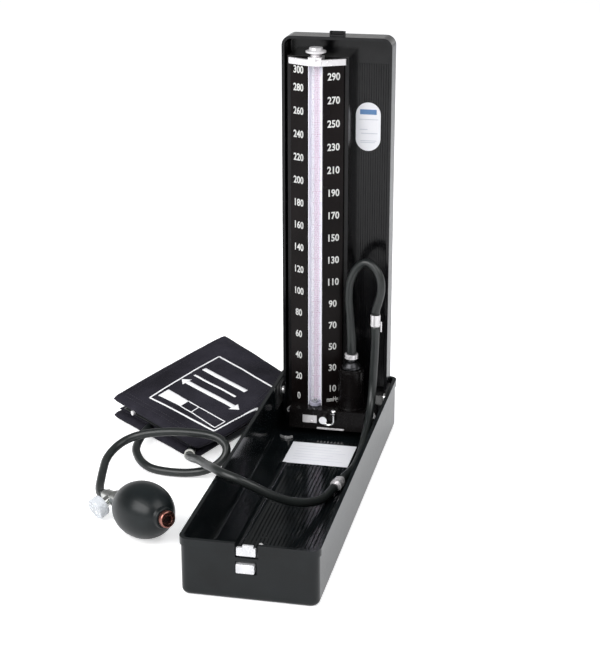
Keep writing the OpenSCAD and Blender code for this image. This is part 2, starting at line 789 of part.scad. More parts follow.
// pale collar where the hose goes into the cuff
module cuff_hose_collar() {
    a = cuff_route[len(cuff_route) - 3];
    b = cuff_route[len(cuff_route) - 2];
    d = unit(b - a);
    color("#c8c8c0") translate(a + 2 * d) rotate([0, acos(d[2]), atan2(d[1], d[0])]) difference() {
        cylinder(r = hose_r + 1.1, h = 4);
        translate([0, 0, -1]) cylinder(r = hose_r + 0.25, h = 6);
    }
}

module bulb_hose() {
    color("#35383a") tube(bulb_route, hose_r, [0, 0, 1], 12);
}

// ---------- cuff ----------

// how far the upper layer leans over towards the tray, from none at its lower layer
function lean(t, s, z) = cuff_lean * (1 - t) * pow(4 * s * (1 - s), 0.7)
    * max(0, min(1, (z - cuff_layer) / (top_line(t, s, 2 * cuff_layer))));

// a point s of the way from the front line to the back line, at height z, stopped by the tray's side
function on_cuff(t, s, z) =
    let (a = cuff_front[0] * (1 - t) + cuff_front[1] * t, b = cuff_back[0] * (1 - t) + cuff_back[1] * t,
        d = lean(t, s, z))
    [min(a[0] + s * (b[0] - a[0]) + d, -tray_w / 2 - cuff_side_gap), a[1] + s * (b[1] - a[1]) - d / 3, z];
function crown(t) = cuff_crown * sin(180 * t) + cuff_far_rise * t * t;
fold_s = 0.12;
function fold_arc(t, h0, h1, s_in, n) = [for (k = [0:n])
    let (a = 180 * k / n - 90)
    on_cuff(t, 1 - fold_s + (fold_s - s_in) * cos(a), (h0 + h1) / 2 + (h1 - h0) / 2 * sin(a))];
function top_line(t, s, drop) = cuff_front_h + (cuff_back_h - cuff_front_h) * s / (1 - fold_s) + crown(t) - drop;
layer_s = 0.055;
gap_z = 0.5;

// band folded once at the back, open at the front: its outside, then its inside the other way round
function cover_ring(t) =
    let (top_z = cuff_back_h + crown(t), n = 6)
    concat(
        [on_cuff(t, 0, 3), on_cuff(t, 0.02, 0), on_cuff(t, 0.4, 0)],
        fold_arc(t, 0, top_z, 0, n),
        [on_cuff(t, 0.5, top_line(t, 0.5, -1)), on_cuff(t, 0.03, top_line(t, 0.03, 0.5)),
            on_cuff(t, 0, top_line(t, 0, 3.5)), on_cuff(t, 0.02, top_line(t, 0.02, cuff_layer)),
            on_cuff(t, 0.25, top_line(t, 0.25, cuff_layer)), on_cuff(t, 0.5, top_line(t, 0.5, cuff_layer))],
        [for (p = [n:-1:0]) fold_arc(t, cuff_layer, top_z - cuff_layer, layer_s, n)[p]],
        [on_cuff(t, 0.4, cuff_layer), on_cuff(t, 0.02, cuff_layer), on_cuff(t, 0, cuff_layer - 3)]);

// one wedge of the folded stack between heights f0 and f1 of the room inside the fold
function wedge_z(t, s, f) = let (lo = cuff_layer + gap_z, hi = top_line(t, s, cuff_layer + gap_z))
    lo + (hi - lo) * f;
function wedge_ring(t, f0, f1) = concat(
    [for (s = [0.04, 0.4, 0.84]) on_cuff(t, s, wedge_z(t, s, f0) + (f0 > 0 ? gap_z / 2 : 0))],
    [for (s = [0.84, 0.4, 0.04]) on_cuff(t, s, wedge_z(t, s, f1) - (f1 < 1 ? gap_z / 2 : 0))]);

module cuff_cover() {
    rings = [for (i = [0:cuff_steps]) cover_ring(i / cuff_steps)];
    color("#23232b") skin(rings, len(rings[0]));
}

module cuff_inner_layers() {
    color("#23232b") for (f = [[0, 0.34], [0.66, 1]]) {
        rings = [for (i = [0:cuff_steps]) wedge_ring(0.02 + 0.96 * i / cuff_steps, f[0], f[1])];
        skin(rings, len(rings[0]));
    }
}

module cuff_bladder() {
    rings = [for (i = [0:cuff_steps]) wedge_ring(0.08 + 0.84 * i / cuff_steps, 0.34, 0.66)];
    color("#35383a") skin(rings, len(rings[0]));
}

module cuff_rivet() {
    p = on_cuff(0.74, 0, top_line(0.74, 0, cuff_layer - 1));
    n = atan2(cuff_front[1][1] - cuff_front[0][1], cuff_front[1][0] - cuff_front[0][0]);
    color("silver") translate(p) rotate([0, 90, n + 90]) translate([0, 0, -0.6]) cylinder(r = 2.1, h = 2.2);
}

// pale tab with a hole, sewn under the cuff's edge
module cuff_tab() {
    a = on_cuff(0, 0.25, 0);
    b = on_cuff(0, 0.62, 0);
    n = atan2(b[1] - a[1], b[0] - a[0]);
    color("#d8d8d0") translate([a[0], a[1], 4]) rotate([0, 0, n]) difference() {
        translate([0, -8, 0]) cube([norm(b - a), 8, 1]);
        translate([norm(b - a) - 5, -4, -1]) cylinder(r = 2, h = 3);
    }
}

// ---------- bulb ----------

module at_bulb() {
    translate(bulb_at) rotate([0, 90 - bulb_el, bulb_az]) children();
}

// frame of the needle and the thumb wheel, on a boss square to the bulb's axis
module at_valve() {
    at_bulb() rotate(valve_roll) translate([0, 0, -knob_at]) rotate([90, 0, 0]) children();
}

// half outline of a turned egg shape of radius r and half length h, up to the neck radius
function egg(r, h, neck, n) =
    let (a1 = acos(neck / r))
    [for (k = [-n:n]) [r * cos(a1 * k / n), h * sin(a1 * k / n)]];

module bulb_shell() {
    r = bulb_d / 2;
    h = bulb_l / 2;
    outer = concat([[bulb_bore, -neck_z], [bulb_neck_r, -neck_z]], egg(r, h, bulb_neck_r, 12),
        [[bulb_neck_r, neck_z], [bulb_bore, neck_z]]);
    inner = egg(r - bulb_wall, h - bulb_wall, bulb_bore, 12);
    backward = [for (i = [len(inner) - 1:-1:0]) inner[i]];
    color("#2c2f31") difference() {
        at_bulb() rotate_extrude() polygon(concat(outer, backward));
        translate([bulb_at[0], bulb_at[1], -10]) cube([200, 200, 20], center = true);
    }
}

module bulb_end_valve() {
    color("#b5654a") at_bulb() translate([0, 0, neck_z]) rotate_extrude()
        polygon([[1.8, -10], [bulb_bore, -10], [bulb_bore, 0], [6.6, 0], [6.6, 3.4], [5.8, 4.2],
            [3.2, 4.2], [3.2, 0], [2.4, -1], [3.4, -2.4], [3.4, -8], [1.8, -8.6]]);
}

module end_valve_ball() {
    color("silver") at_bulb() translate([0, 0, neck_z - 5]) sphere(r = 2.9);
}

// valve between bulb and hose, with the tapped side boss for the needle
module release_valve_body() {
    color("#d8dade") at_bulb() rotate(valve_roll) difference() {
        union() {
            rotate_extrude() polygon([[0, -57.9], [hose_r, -57.9], [hose_r + 0.6, -56.5], [hose_r + 0.6, -53],
                [5, -52.5], [5, -40], [6.8, -39.5], [6.8, -neck_z], [bulb_bore, -neck_z],
                [bulb_bore, 6 - neck_z], [0, 6 - neck_z]]);
            translate([0, 0, -knob_at]) rotate([90, 0, 0]) cylinder(r = 4, h = 8);
        }
        translate([0, 0, -60]) cylinder(r = 1.6, h = 12);
        translate([0, 0, -44]) cylinder(r = 1.6, h = 30);
        translate([0, 0, -knob_at]) rotate([90, 0, 0]) translate([0, 0, -1.5]) cylinder(r = 2.54, h = 12);
    }
}

// sliding needle with a cone tip
module valve_needle() {
    color("silver") at_valve() {
        translate([0, 0, -1.2]) cylinder(r1 = 0.6, r2 = 1, h = 2.2);
        translate([0, 0, 1 - e]) cylinder(r = 1, h = wheel_out + 4);
    }
}

// thumb wheel with its hollow screw
module valve_knob() {
    color([0.9, 0.92, 0.95]) at_valve() difference() {
        union() {
            translate([0, 0, 1.5]) cylinder(r = 2.5, h = wheel_out);
            intersection() {
                translate([0, 0, wheel_out - 1.5]) cylinder(d = wheel_d, h = wheel_t);
                translate([0, 0, wheel_out - 1.5 + wheel_t / 2]) sphere(d = wheel_d + 1);
            }
        }
        cylinder(r = 1.04, h = wheel_out + 5.5);
    }
}

base_tray();
base_pads();
floor_card();
floor_clip();
hinge_brackets();
hinge_pins();
lid_guide_post();
latch_bracket();
latch_pin();
latch_spring();
latch_spring_post();
latch_rocker();
latch_hook_plate();
latch_button();
lid_shell();
lid_tongue();
lid_label();
hinge_arms();
manometer_back();
column_core();
scale_left();
scale_right();
graduation_strip();
glass_tube();
mercury_column();
tube_seals();
tube_ferrule();
top_bar();
vent_filter();
tube_cap();
reservoir_base();
base_screws();
name_plate();
base_strip();
reservoir_body();
reservoir_cap();
mercury_pool();
hose_nipple();
cock_plug();
cock_lever();
manometer_hose();
upper_connector();
lower_hose();
lower_connector();
cuff_hose();
cuff_hose_collar();
cuff_cover();
cuff_inner_layers();
cuff_bladder();
cuff_rivet();
cuff_tab();
bulb_hose();
bulb_shell();
bulb_end_valve();
end_valve_ball();
release_valve_body();
valve_needle();
valve_knob();
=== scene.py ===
"""A desk mercury sphygmomanometer: finishes, hoses, cuff, bulb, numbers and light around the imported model."""

import math

import bmesh
import bpy
import numpy as np
from mathutils import Matrix, Vector, noise
from mathutils.bvhtree import BVHTree


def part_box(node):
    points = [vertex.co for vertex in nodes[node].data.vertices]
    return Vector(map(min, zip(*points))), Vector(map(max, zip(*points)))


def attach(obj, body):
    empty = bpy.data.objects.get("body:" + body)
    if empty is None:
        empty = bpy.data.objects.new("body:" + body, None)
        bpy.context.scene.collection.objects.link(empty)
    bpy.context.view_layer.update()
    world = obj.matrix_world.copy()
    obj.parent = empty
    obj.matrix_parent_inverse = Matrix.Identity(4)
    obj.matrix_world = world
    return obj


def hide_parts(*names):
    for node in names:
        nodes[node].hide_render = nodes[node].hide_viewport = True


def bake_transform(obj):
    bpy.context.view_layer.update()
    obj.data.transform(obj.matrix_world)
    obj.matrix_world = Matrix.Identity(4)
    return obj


MM = 0.001
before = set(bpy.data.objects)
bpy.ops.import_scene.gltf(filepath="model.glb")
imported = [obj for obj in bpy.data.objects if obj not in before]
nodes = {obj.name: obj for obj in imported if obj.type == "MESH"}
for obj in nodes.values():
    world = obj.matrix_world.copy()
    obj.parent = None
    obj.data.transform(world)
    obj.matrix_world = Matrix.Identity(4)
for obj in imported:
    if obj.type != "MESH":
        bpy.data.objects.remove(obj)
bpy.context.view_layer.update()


def linked(name, data):
    """A new object in the scene's collection."""
    made = bpy.data.objects.new(name, data)
    bpy.context.scene.collection.objects.link(made)
    return made


# ---------- camera ----------

IMAGE_W, IMAGE_H = 600, 651
FOCAL_PX = 1642.0
CENTRE_PX = (289.3, 351.8)
CAMERA_AT = Vector((0.2538, -1.1703, 0.5692))
CAMERA_YAW, CAMERA_PITCH, CAMERA_ROLL = 12.608, 20.282, -0.247
SENSOR = 36.0


def make_camera():
    """The photograph's viewpoint, with its off-centre axis as lens shift."""
    yaw, pitch, roll = (math.radians(a) for a in (CAMERA_YAW, CAMERA_PITCH, CAMERA_ROLL))
    level_share = math.cos(pitch)
    forward = Vector((-math.sin(yaw) * level_share, math.cos(yaw) * level_share, -math.sin(pitch)))
    level = Vector((math.cos(yaw), math.sin(yaw), 0))
    above = level.cross(forward)
    right = math.cos(roll) * level + math.sin(roll) * above
    up = right.cross(forward)
    data = bpy.data.cameras.new("camera")
    data.sensor_fit = "HORIZONTAL"
    data.sensor_width = SENSOR
    data.lens = FOCAL_PX * SENSOR / IMAGE_W
    data.shift_x = (IMAGE_W / 2 - CENTRE_PX[0]) / IMAGE_W
    data.shift_y = (CENTRE_PX[1] - IMAGE_H / 2) / IMAGE_W
    data.clip_start, data.clip_end = 0.05, 60
    camera = linked("camera", data)
    turn = Matrix((right, up, -forward)).transposed().to_4x4()
    camera.matrix_world = Matrix.Translation(CAMERA_AT) @ turn
    bpy.context.scene.camera = camera


make_camera()


# ---------- materials ----------

# bump heights of the finishes, in metres
SMOOTH, FAINT_GRAIN, FINE_GRAIN, COARSE_GRAIN = 0.0, 0.000004, 0.00001, 0.00002
# wave texture scale for a thread pitch of 1; one band comes to 0.62 of the pitch
THREAD_SCALE = 10 / math.tau / 3.14
THREAD_PITCH, WEAVE_DEPTH = 0.0007, 0.00012


class Shader:
    """A principled material whose colour, roughness and bump come from noise in object space."""

    def __init__(self, name, **constants):
        self.material = bpy.data.materials.new(name)
        self.material.use_nodes = True
        self.tree = self.material.node_tree
        self.bsdf = self.tree.nodes["Principled BSDF"]
        self.place = self.tree.nodes.new("ShaderNodeTexCoord").outputs["Object"]
        for socket, value in constants.items():
            self.bsdf.inputs[socket.replace("_", " ")].default_value = value

    def link(self, a, b):
        self.tree.links.new(a, b)

    def node(self, kind, **settings):
        made = self.tree.nodes.new(kind)
        for key, value in settings.items():
            setattr(made, key, value)
        return made

    def noise(self, scale, detail=2.0):
        made = self.node("ShaderNodeTexNoise")
        made.inputs["Scale"].default_value = scale
        made.inputs["Detail"].default_value = detail
        self.link(self.place, made.inputs["Vector"])
        return made.outputs["Fac"]

    def spread(self, value, low, high, from_low=0.3, from_high=0.7):
        made = self.node("ShaderNodeMapRange")
        ends = {"From Min": from_low, "From Max": from_high, "To Min": low, "To Max": high}
        for name, number in ends.items():
            made.inputs[name].default_value = number
        self.link(value, made.inputs["Value"])
        return made.outputs["Result"]

    def blend(self, value, colour_a, colour_b):
        made = self.node("ShaderNodeMix", data_type="RGBA")
        self.link(value, made.inputs[0])
        for socket, colour in ((made.inputs[6], colour_a), (made.inputs[7], colour_b)):
            if isinstance(colour, tuple):
                socket.default_value = (*colour, 1)
            else:
                self.link(colour, socket)
        return made.outputs[2]

    def math(self, operation, a, b):
        made = self.node("ShaderNodeMath", operation=operation)
        for socket, value in ((made.inputs[0], a), (made.inputs[1], b)):
            if isinstance(value, (int, float)):
                socket.default_value = value
            else:
                self.link(value, socket)
        return made.outputs[0]

    def colour(self, value):
        self.link(value, self.bsdf.inputs["Base Color"])

    def roughness(self, value):
        self.link(value, self.bsdf.inputs["Roughness"])

    def bump(self, height, distance, strength=1.0):
        made = self.node("ShaderNodeBump")
        made.inputs["Strength"].default_value = strength
        made.inputs["Distance"].default_value = distance
        self.link(height, made.inputs["Height"])
        self.link(made.outputs["Normal"], self.bsdf.inputs["Normal"])


def finish_of(name, dark, light, rough, patch=60.0, grain=1500.0, depth=COARSE_GRAIN, **constants):
    """A moulded, painted or metal finish: cloudy colour, uneven gloss and a fine grain."""
    shader = Shader(name, **constants)
    cloud = shader.noise(patch, 3.0)
    shader.colour(shader.blend(shader.spread(cloud, 0.0, 1.0), dark, light))
    shader.roughness(shader.spread(shader.noise(patch * 2.3, 4.0), *rough))
    if depth:
        shader.bump(shader.noise(grain, 2.0), depth)
    return shader.material


def cloth_of(name, dark, light, turn):
    """Plain weave whose threads run along and across the cuff."""
    shader = Shader(name, Sheen_Weight=0.03, Sheen_Roughness=0.5, Specular_IOR_Level=0.12)
    shader.bsdf.inputs["Sheen Tint"].default_value = (0.75, 0.72, 0.85, 1)
    mapping = shader.node("ShaderNodeMapping")
    mapping.inputs["Rotation"].default_value = (0, 0, turn)
    shader.link(shader.place, mapping.inputs["Vector"])
    shader.place = mapping.outputs["Vector"]
    threads = []
    for direction in ("X", "Y"):
        wave = shader.node("ShaderNodeTexWave", bands_direction=direction)
        wave.inputs["Scale"].default_value = THREAD_SCALE / THREAD_PITCH
        wave.inputs["Distortion"].default_value = 0.4
        wave.inputs["Detail Scale"].default_value = 3.0
        shader.link(shader.place, wave.inputs["Vector"])
        threads.append(wave.outputs["Fac"])
    weave = shader.math("MULTIPLY", threads[0], threads[1])
    cloud = shader.spread(shader.noise(28.0, 4.0), 0.0, 0.75)
    mixed = shader.math("ADD", cloud, shader.math("MULTIPLY", weave, 0.35))
    shader.colour(shader.blend(mixed, dark, light))
    shader.roughness(shader.spread(shader.noise(90.0, 3.0), 0.62, 0.85))
    shader.bump(shader.math("ADD", weave, shader.noise(1900.0, 2.0)), WEAVE_DEPTH, 0.8)
    return shader.material


def glass_of(name):
    """Clear tube glass: nearly invisible face on, whiter towards its edges."""
    shader = Shader(name, IOR=1.45, Coat_Weight=0.5, Coat_Roughness=0.03)
    shader.bsdf.inputs["Base Color"].default_value = (0.93, 0.94, 0.97, 1)
    shader.roughness(shader.spread(shader.noise(40.0), 0.02, 0.06))
    weight = shader.node("ShaderNodeLayerWeight")
    weight.inputs["Blend"].default_value = 0.35
    cover = shader.spread(weight.outputs["Facing"], 0.06, 0.5, 0.0, 1.0)
    shader.link(cover, shader.bsdf.inputs["Alpha"])
    return shader.material


def knob_of(name):
    """Frosted clear plastic."""
    shader = Shader(name, IOR=1.46, Transmission_Weight=0.2, Subsurface_Weight=0.3)
    shader.bsdf.inputs["Subsurface Radius"].default_value = (0.004, 0.004, 0.004)
    shader.colour(shader.blend(shader.noise(120.0), (0.66, 0.69, 0.73), (0.82, 0.84, 0.87)))
    shader.roughness(shader.spread(shader.noise(300.0), 0.18, 0.34))
    return shader.material


CHROME = dict(Metallic=1.0)
PALE_METAL = dict(Metallic=0.55)
CASE = dict(Specular_IOR_Level=0.3)
tray_plastic = finish_of(
    "tray_plastic", (0.003, 0.004, 0.0045), (0.006, 0.008, 0.009), (0.1, 0.16),
    grain=1300, depth=FAINT_GRAIN, **CASE,
)
lid_plastic = finish_of(
    "lid_plastic", (0.003, 0.003, 0.0035), (0.006, 0.006, 0.007), (0.12, 0.2),
    grain=1300, depth=FAINT_GRAIN, **CASE,
)
pad_rubber = finish_of("pad_rubber", (0.012, 0.012, 0.012), (0.02, 0.02, 0.02), (0.6, 0.8))
white_card = finish_of(
    "white_card", (0.86, 0.86, 0.90), (0.92, 0.92, 0.95), (0.45, 0.6), grain=2500, depth=FINE_GRAIN
)
bright_steel = finish_of(
    "bright_steel", (0.68, 0.67, 0.67), (0.86, 0.85, 0.85), (0.18, 0.3), patch=200, **PALE_METAL
)
hinge_steel = finish_of(
    "hinge_steel", (0.05, 0.05, 0.05), (0.12, 0.12, 0.12), (0.25, 0.4), patch=200, **PALE_METAL
)
latch_chrome = finish_of(
    "latch_chrome", (0.62, 0.62, 0.64), (0.76, 0.76, 0.77), (0.2, 0.3),
    patch=90, depth=FINE_GRAIN, **PALE_METAL,
)
latch_plastic = finish_of("latch_plastic", (0.02, 0.022, 0.026), (0.035, 0.038, 0.042), (0.35, 0.5))
housing_plastic = finish_of(
    "housing_plastic", (0.003, 0.003, 0.004), (0.007, 0.006, 0.006), (0.16, 0.26),
    depth=FINE_GRAIN, Specular_IOR_Level=0.25,
)
scale_black = finish_of(
    "scale_black", (0.003, 0.002, 0.002), (0.007, 0.005, 0.005), (0.18, 0.28),
    patch=25, depth=FINE_GRAIN, Specular_IOR_Level=0.1,
)
strip_white = finish_of(
    "strip_white", (0.90, 0.89, 0.97), (0.94, 0.93, 0.99), (0.3, 0.4), patch=30, depth=FINE_GRAIN
)
print_white = finish_of("print_white", (0.84, 0.84, 0.86), (0.93, 0.93, 0.94), (0.5, 0.65), grain=2200)
number_white = finish_of(
    "number_white", (0.56, 0.56, 0.55), (0.68, 0.68, 0.66), (0.5, 0.65), grain=2200, depth=FINE_GRAIN
)
print_pink = finish_of("print_pink", (0.66, 0.34, 0.50), (0.74, 0.42, 0.58), (0.4, 0.5), depth=SMOOTH)
band_pink = finish_of("band_pink", (0.86, 0.68, 0.84), (0.90, 0.74, 0.88), (0.35, 0.45), depth=SMOOTH)
line_grey = finish_of("line_grey", (0.58, 0.60, 0.66), (0.66, 0.68, 0.74), (0.5, 0.6), depth=SMOOTH)
line_blue = finish_of("line_blue", (0.08, 0.20, 0.42), (0.14, 0.28, 0.52), (0.4, 0.5), depth=SMOOTH)
mercury = finish_of("mercury", (0.72, 0.73, 0.75), (0.8, 0.81, 0.83), (0.04, 0.08), depth=SMOOTH, **CHROME)
seal_rubber = finish_of("seal_rubber", (0.015, 0.015, 0.015), (0.025, 0.025, 0.025), (0.5, 0.7))
ferrule_grey = finish_of("ferrule_grey", (0.30, 0.29, 0.38), (0.42, 0.41, 0.50), (0.2, 0.3), depth=SMOOTH)
# painted shade: the dark finish of the crosses that stand in for the shade in the screw heads' cross recesses
ferrule_dark = finish_of("ferrule_dark", (0.01, 0.012, 0.03), (0.02, 0.022, 0.05), (0.15, 0.25))
column_chrome = finish_of(
    "column_chrome", (0.70, 0.68, 0.69), (0.84, 0.82, 0.83), (0.18, 0.3),
    patch=80, depth=FINE_GRAIN, **PALE_METAL,
)
filter_leather = finish_of(
    "filter_leather", (0.35, 0.22, 0.12), (0.5, 0.34, 0.2), (0.7, 0.9), grain=2500, depth=0.00006
)
base_black = finish_of(
    "base_black", (0.003, 0.0025, 0.0025), (0.006, 0.005, 0.005), (0.16, 0.3),
    depth=FINE_GRAIN, Specular_IOR_Level=0.14,
)
cap_metal = finish_of(
    "cap_metal", (0.035, 0.035, 0.038), (0.07, 0.07, 0.075), (0.28, 0.42), patch=150, **CHROME
)
cock_chrome = finish_of(
    "cock_chrome", (0.86, 0.86, 0.86), (0.95, 0.95, 0.95), (0.08, 0.18), patch=120, depth=SMOOTH, **CHROME
)
hose_rubber = finish_of(
    "hose_rubber", (0.009, 0.011, 0.011), (0.018, 0.021, 0.020), (0.28, 0.38),
    patch=45, depth=FINE_GRAIN, Specular_IOR_Level=0.5,
)
collar_pale = finish_of("collar_pale", (0.55, 0.56, 0.53), (0.68, 0.68, 0.64), (0.3, 0.45))
bulb_rubber = finish_of(
    "bulb_rubber", (0.003, 0.0045, 0.005), (0.008, 0.011, 0.012), (0.28, 0.36),
    patch=35, depth=FINE_GRAIN, Specular_IOR_Level=0.33,
)
valve_copper = finish_of(
    "valve_copper", (0.26, 0.10, 0.08), (0.46, 0.22, 0.18), (0.2, 0.34), patch=200, **CHROME
)
valve_chrome = finish_of(
    "valve_chrome", (0.55, 0.56, 0.54), (0.74, 0.75, 0.73), (0.12, 0.24),
    patch=200, depth=SMOOTH, **CHROME,
)
tab_pale = finish_of(
    "tab_pale", (0.72, 0.72, 0.70), (0.84, 0.84, 0.82), (0.6, 0.8), grain=1800, depth=0.00008
)
thread_dark = finish_of("thread_dark", (0.015, 0.014, 0.02), (0.035, 0.033, 0.045), (0.5, 0.7))
# the cuff's front line runs 78 mm back over 96 mm to the left
CUFF_TURN = math.atan2(78, 96)
cuff_cloth = cloth_of("cuff_cloth", (0.007, 0.0065, 0.010), (0.027, 0.025, 0.035), CUFF_TURN)
glass_clear = glass_of("glass_clear")
knob_frosted = knob_of("knob_frosted")

NODE_FINISH = {
    "base_tray": tray_plastic,
    "latch_spring_post": tray_plastic,
    "base_pads": pad_rubber,
    "floor_card": white_card,
    "floor_clip": bright_steel,
    "hinge_brackets": hinge_steel,
    "hinge_arms": hinge_steel,
    "hinge_pins": bright_steel,
    "lid_guide_post": bright_steel,
    "latch_pin": bright_steel,
    "latch_spring": bright_steel,
    "latch_hook_plate": latch_chrome,
    "latch_button": latch_chrome,
    "latch_bracket": latch_plastic,
    "latch_rocker": latch_plastic,
    "lid_shell": lid_plastic,
    "lid_tongue": lid_plastic,
    "lid_label": white_card,
    "manometer_back": housing_plastic,
    "column_core": housing_plastic,
    "scale_left": scale_black,
    "scale_right": scale_black,
    "graduation_strip": strip_white,
    "glass_tube": glass_clear,
    "mercury_column": mercury,
    "mercury_pool": mercury,
    "tube_seals": seal_rubber,
    "tube_ferrule": ferrule_grey,
    "top_bar": column_chrome,
    "tube_cap": column_chrome,
    "vent_filter": filter_leather,
    "reservoir_base": base_black,
    "reservoir_body": base_black,
    "reservoir_cap": cap_metal,
    "base_screws": bright_steel,
    "name_plate": column_chrome,
    "base_strip": column_chrome,
    "hose_nipple": column_chrome,
    "cock_plug": cock_chrome,
    "cock_lever": cock_chrome,
    "upper_connector": column_chrome,
    "lower_connector": column_chrome,
    "cuff_hose_collar": collar_pale,
    "cuff_rivet": bright_steel,
    "bulb_end_valve": valve_copper,
    "end_valve_ball": bright_steel,
    "release_valve_body": valve_chrome,
    "valve_needle": bright_steel,
    "valve_knob": knob_frosted,
}

WELD_GAP = 0.000004  # in metres
SHARP_ANGLE = 38  # in degrees
# edge rounding of the carried-over nodes, in millimetres
EDGE_ROUND = {
    "base_tray": 0.7,
    "lid_shell": 0.7,
    "lid_tongue": 0.4,
    "manometer_back": 0.6,
    "top_bar": 0.35,
    "tube_cap": 0.3,
    "reservoir_base": 0.5,
    "reservoir_body": 0.5,
    "reservoir_cap": 0.3,
    "name_plate": 0.15,
    "base_strip": 0.2,
    "latch_hook_plate": 0.35,
    "latch_button": 0.6,
    "latch_rocker": 0.2,
    "hinge_arms": 0.25,
    "hinge_brackets": 0.2,
    "valve_knob": 0.3,
    "release_valve_body": 0.25,
    "upper_connector": 0.3,
    "lower_connector": 0.4,
    "scale_left": 0.15,
    "scale_right": 0.15,
    "lid_label": 0.12,
    "floor_card": 0.08,
    "cock_plug": 0.2,
    "bulb_end_valve": 0.25,
    "hose_nipple": 0.3,
}


def dress_node(name, finish):
    """Gives a carried-over node its finish and, where it shows, rounded edges."""
    piece = nodes[name]
    piece.data.materials.clear()
    piece.data.materials.append(finish)
    if name in EDGE_ROUND:
        weld = piece.modifiers.new("weld", "WELD")
        weld.merge_threshold = WELD_GAP
        bevel = piece.modifiers.new("edges", "BEVEL")
        bevel.width = EDGE_ROUND[name] * MM
        bevel.segments = 3
        bevel.limit_method = "ANGLE"
        bevel.angle_limit = math.radians(SHARP_ANGLE)
        bevel.use_clamp_overlap = True
        piece.modifiers.new("normals", "WEIGHTED_NORMAL")


for node_name, node_finish in NODE_FINISH.items():
    dress_node(node_name, node_finish)


# ---------- mesh helpers ----------


def piece_from(name, points, faces, finish, body, smooth=True):
    """A mesh object that rides on a body, or on none for a hose that runs between two."""
    mesh = bpy.data.meshes.new(name)
    mesh.from_pydata([tuple(p) for p in points], [], faces)
    mesh.validate()
    made = bmesh.new()
    made.from_mesh(mesh)
    bmesh.ops.recalc_face_normals(made, faces=made.faces)
    made.to_mesh(mesh)
    made.free()
    mesh.polygons.foreach_set("use_smooth", [smooth] * len(mesh.polygons))
    mesh.materials.append(finish)
    piece = linked(name, mesh)
    if body:
        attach(piece, body)
    return piece


def spline(points, steps):
    """Smooth curve through given points."""
    p = [Vector(q) for q in points]
    out = []
    for i in range(len(p) - 1):
        a, b, c, d = p[max(i - 1, 0)], p[i], p[i + 1], p[min(i + 2, len(p) - 1)]
        for k in range(steps):
            t = k / steps
            square = (2 * a - 5 * b + 4 * c - d) * t**2
            cube = (3 * b - a - 3 * c + d) * t**3
            out.append(0.5 * (2 * b + (c - a) * t + square + cube))
    return out + [p[-1]]


def measured(points):
    """Points as an array, with how far along their line each one is."""
    p = np.array([tuple(q) for q in points])
    return p, np.concatenate([[0], np.cumsum(np.linalg.norm(np.diff(p, axis=0), axis=1))])


def sampled(p, at, wanted):
    """Points of a measured line at the wanted distances."""
    return [Vector(q) for q in np.stack([np.interp(wanted, at, p[:, k]) for k in range(3)], axis=1)]


def evenly(points, step):
    """The same line with points a fixed step apart."""
    p, at = measured(points)
    count = max(2, round(at[-1] / step))
    return sampled(p, at, np.linspace(0, at[-1], count + 1))


def ring_faces(rings, size):
    """Quads that join rings of equal size into a tube."""
    faces = []
    for i in range(rings - 1):
        for k in range(size):
            a, b = i * size + k, i * size + (k + 1) % size
            faces.append((a, b, b + size, a + size))
    return faces


def capped_faces(rings, size):
    """The same quads, with a flat cap at each end."""
    last = (rings - 1) * size
    return ring_faces(rings, size) + [tuple(range(size))[::-1], tuple(last + k for k in range(size))]


def tube_mesh(path, radius_at, sides=20):
    """Points and faces of a tube along a path, closed at both ends, carried without twist."""
    count = len(path)
    ways = [(path[min(i + 1, count - 1)] - path[max(i - 1, 0)]).normalized() for i in range(count)]
    side = ways[0].orthogonal().normalized()
    points = []
    for i, (at, way) in enumerate(zip(path, ways)):
        side = (side - way * side.dot(way)).normalized()
        other = way.cross(side)
        radius = radius_at(i / (count - 1))
        for k in range(sides):
            angle = math.tau * k / sides
            points.append(at + radius * (math.cos(angle) * side + math.sin(angle) * other))
    return points, capped_faces(count, sides)


# ---------- hoses ----------

HOSE_D = 7 * MM
MANOMETER_ROUTE = [
    (16.5, 136, 77.1), (16.4, 136.1, 90), (14.8, 137.5, 110), (13.5, 138, 127), (14.6, 138, 141),
    (19.5, 137.5, 153), (27.5, 136.3, 159.5), (35.5, 134.5, 156.5), (41, 132.2, 148), (42.2, 130.8, 137),
    (40.2, 130.1, 127), (38.2, 130, 120.5), (38, 130, 116.3),
]
LOWER_ROUTE = [
    (38, 130, 106), (38, 130, 93), (37.6, 129.8, 78), (37, 129.2, 63), (36.6, 127.5, 50), (36.6, 122, 39),
    (36.8, 113, 31), (37, 101, 25), (36.8, 88, 18.5), (36.4, 75, 12.5), (35.6, 62, 9.2), (34, 48, 8.1),
    (31.5, 35, 8.9), (29.5, 25, 9),
]
CUFF_ROUTE = [
    (26.3, 9, 9), (24.6, 0, 9), (22, -17, 10.6), (17.5, -32, 14.5), (11, -46, 20), (2, -57, 26),
    (-9, -66, 34), (-21, -71.5, 42.5), (-34, -73.5, 48.5), (-45, -70, 50.2), (-53, -62, 49.5),
    (-61, -49, 45.5), (-69, -33, 39.5), (-78, -14, 33), (-88, 6, 25), (-97, 25, 17), (-103, 40, 11.5),
    (-105.5, 50, 9.5), (-106, 58, 9),
]
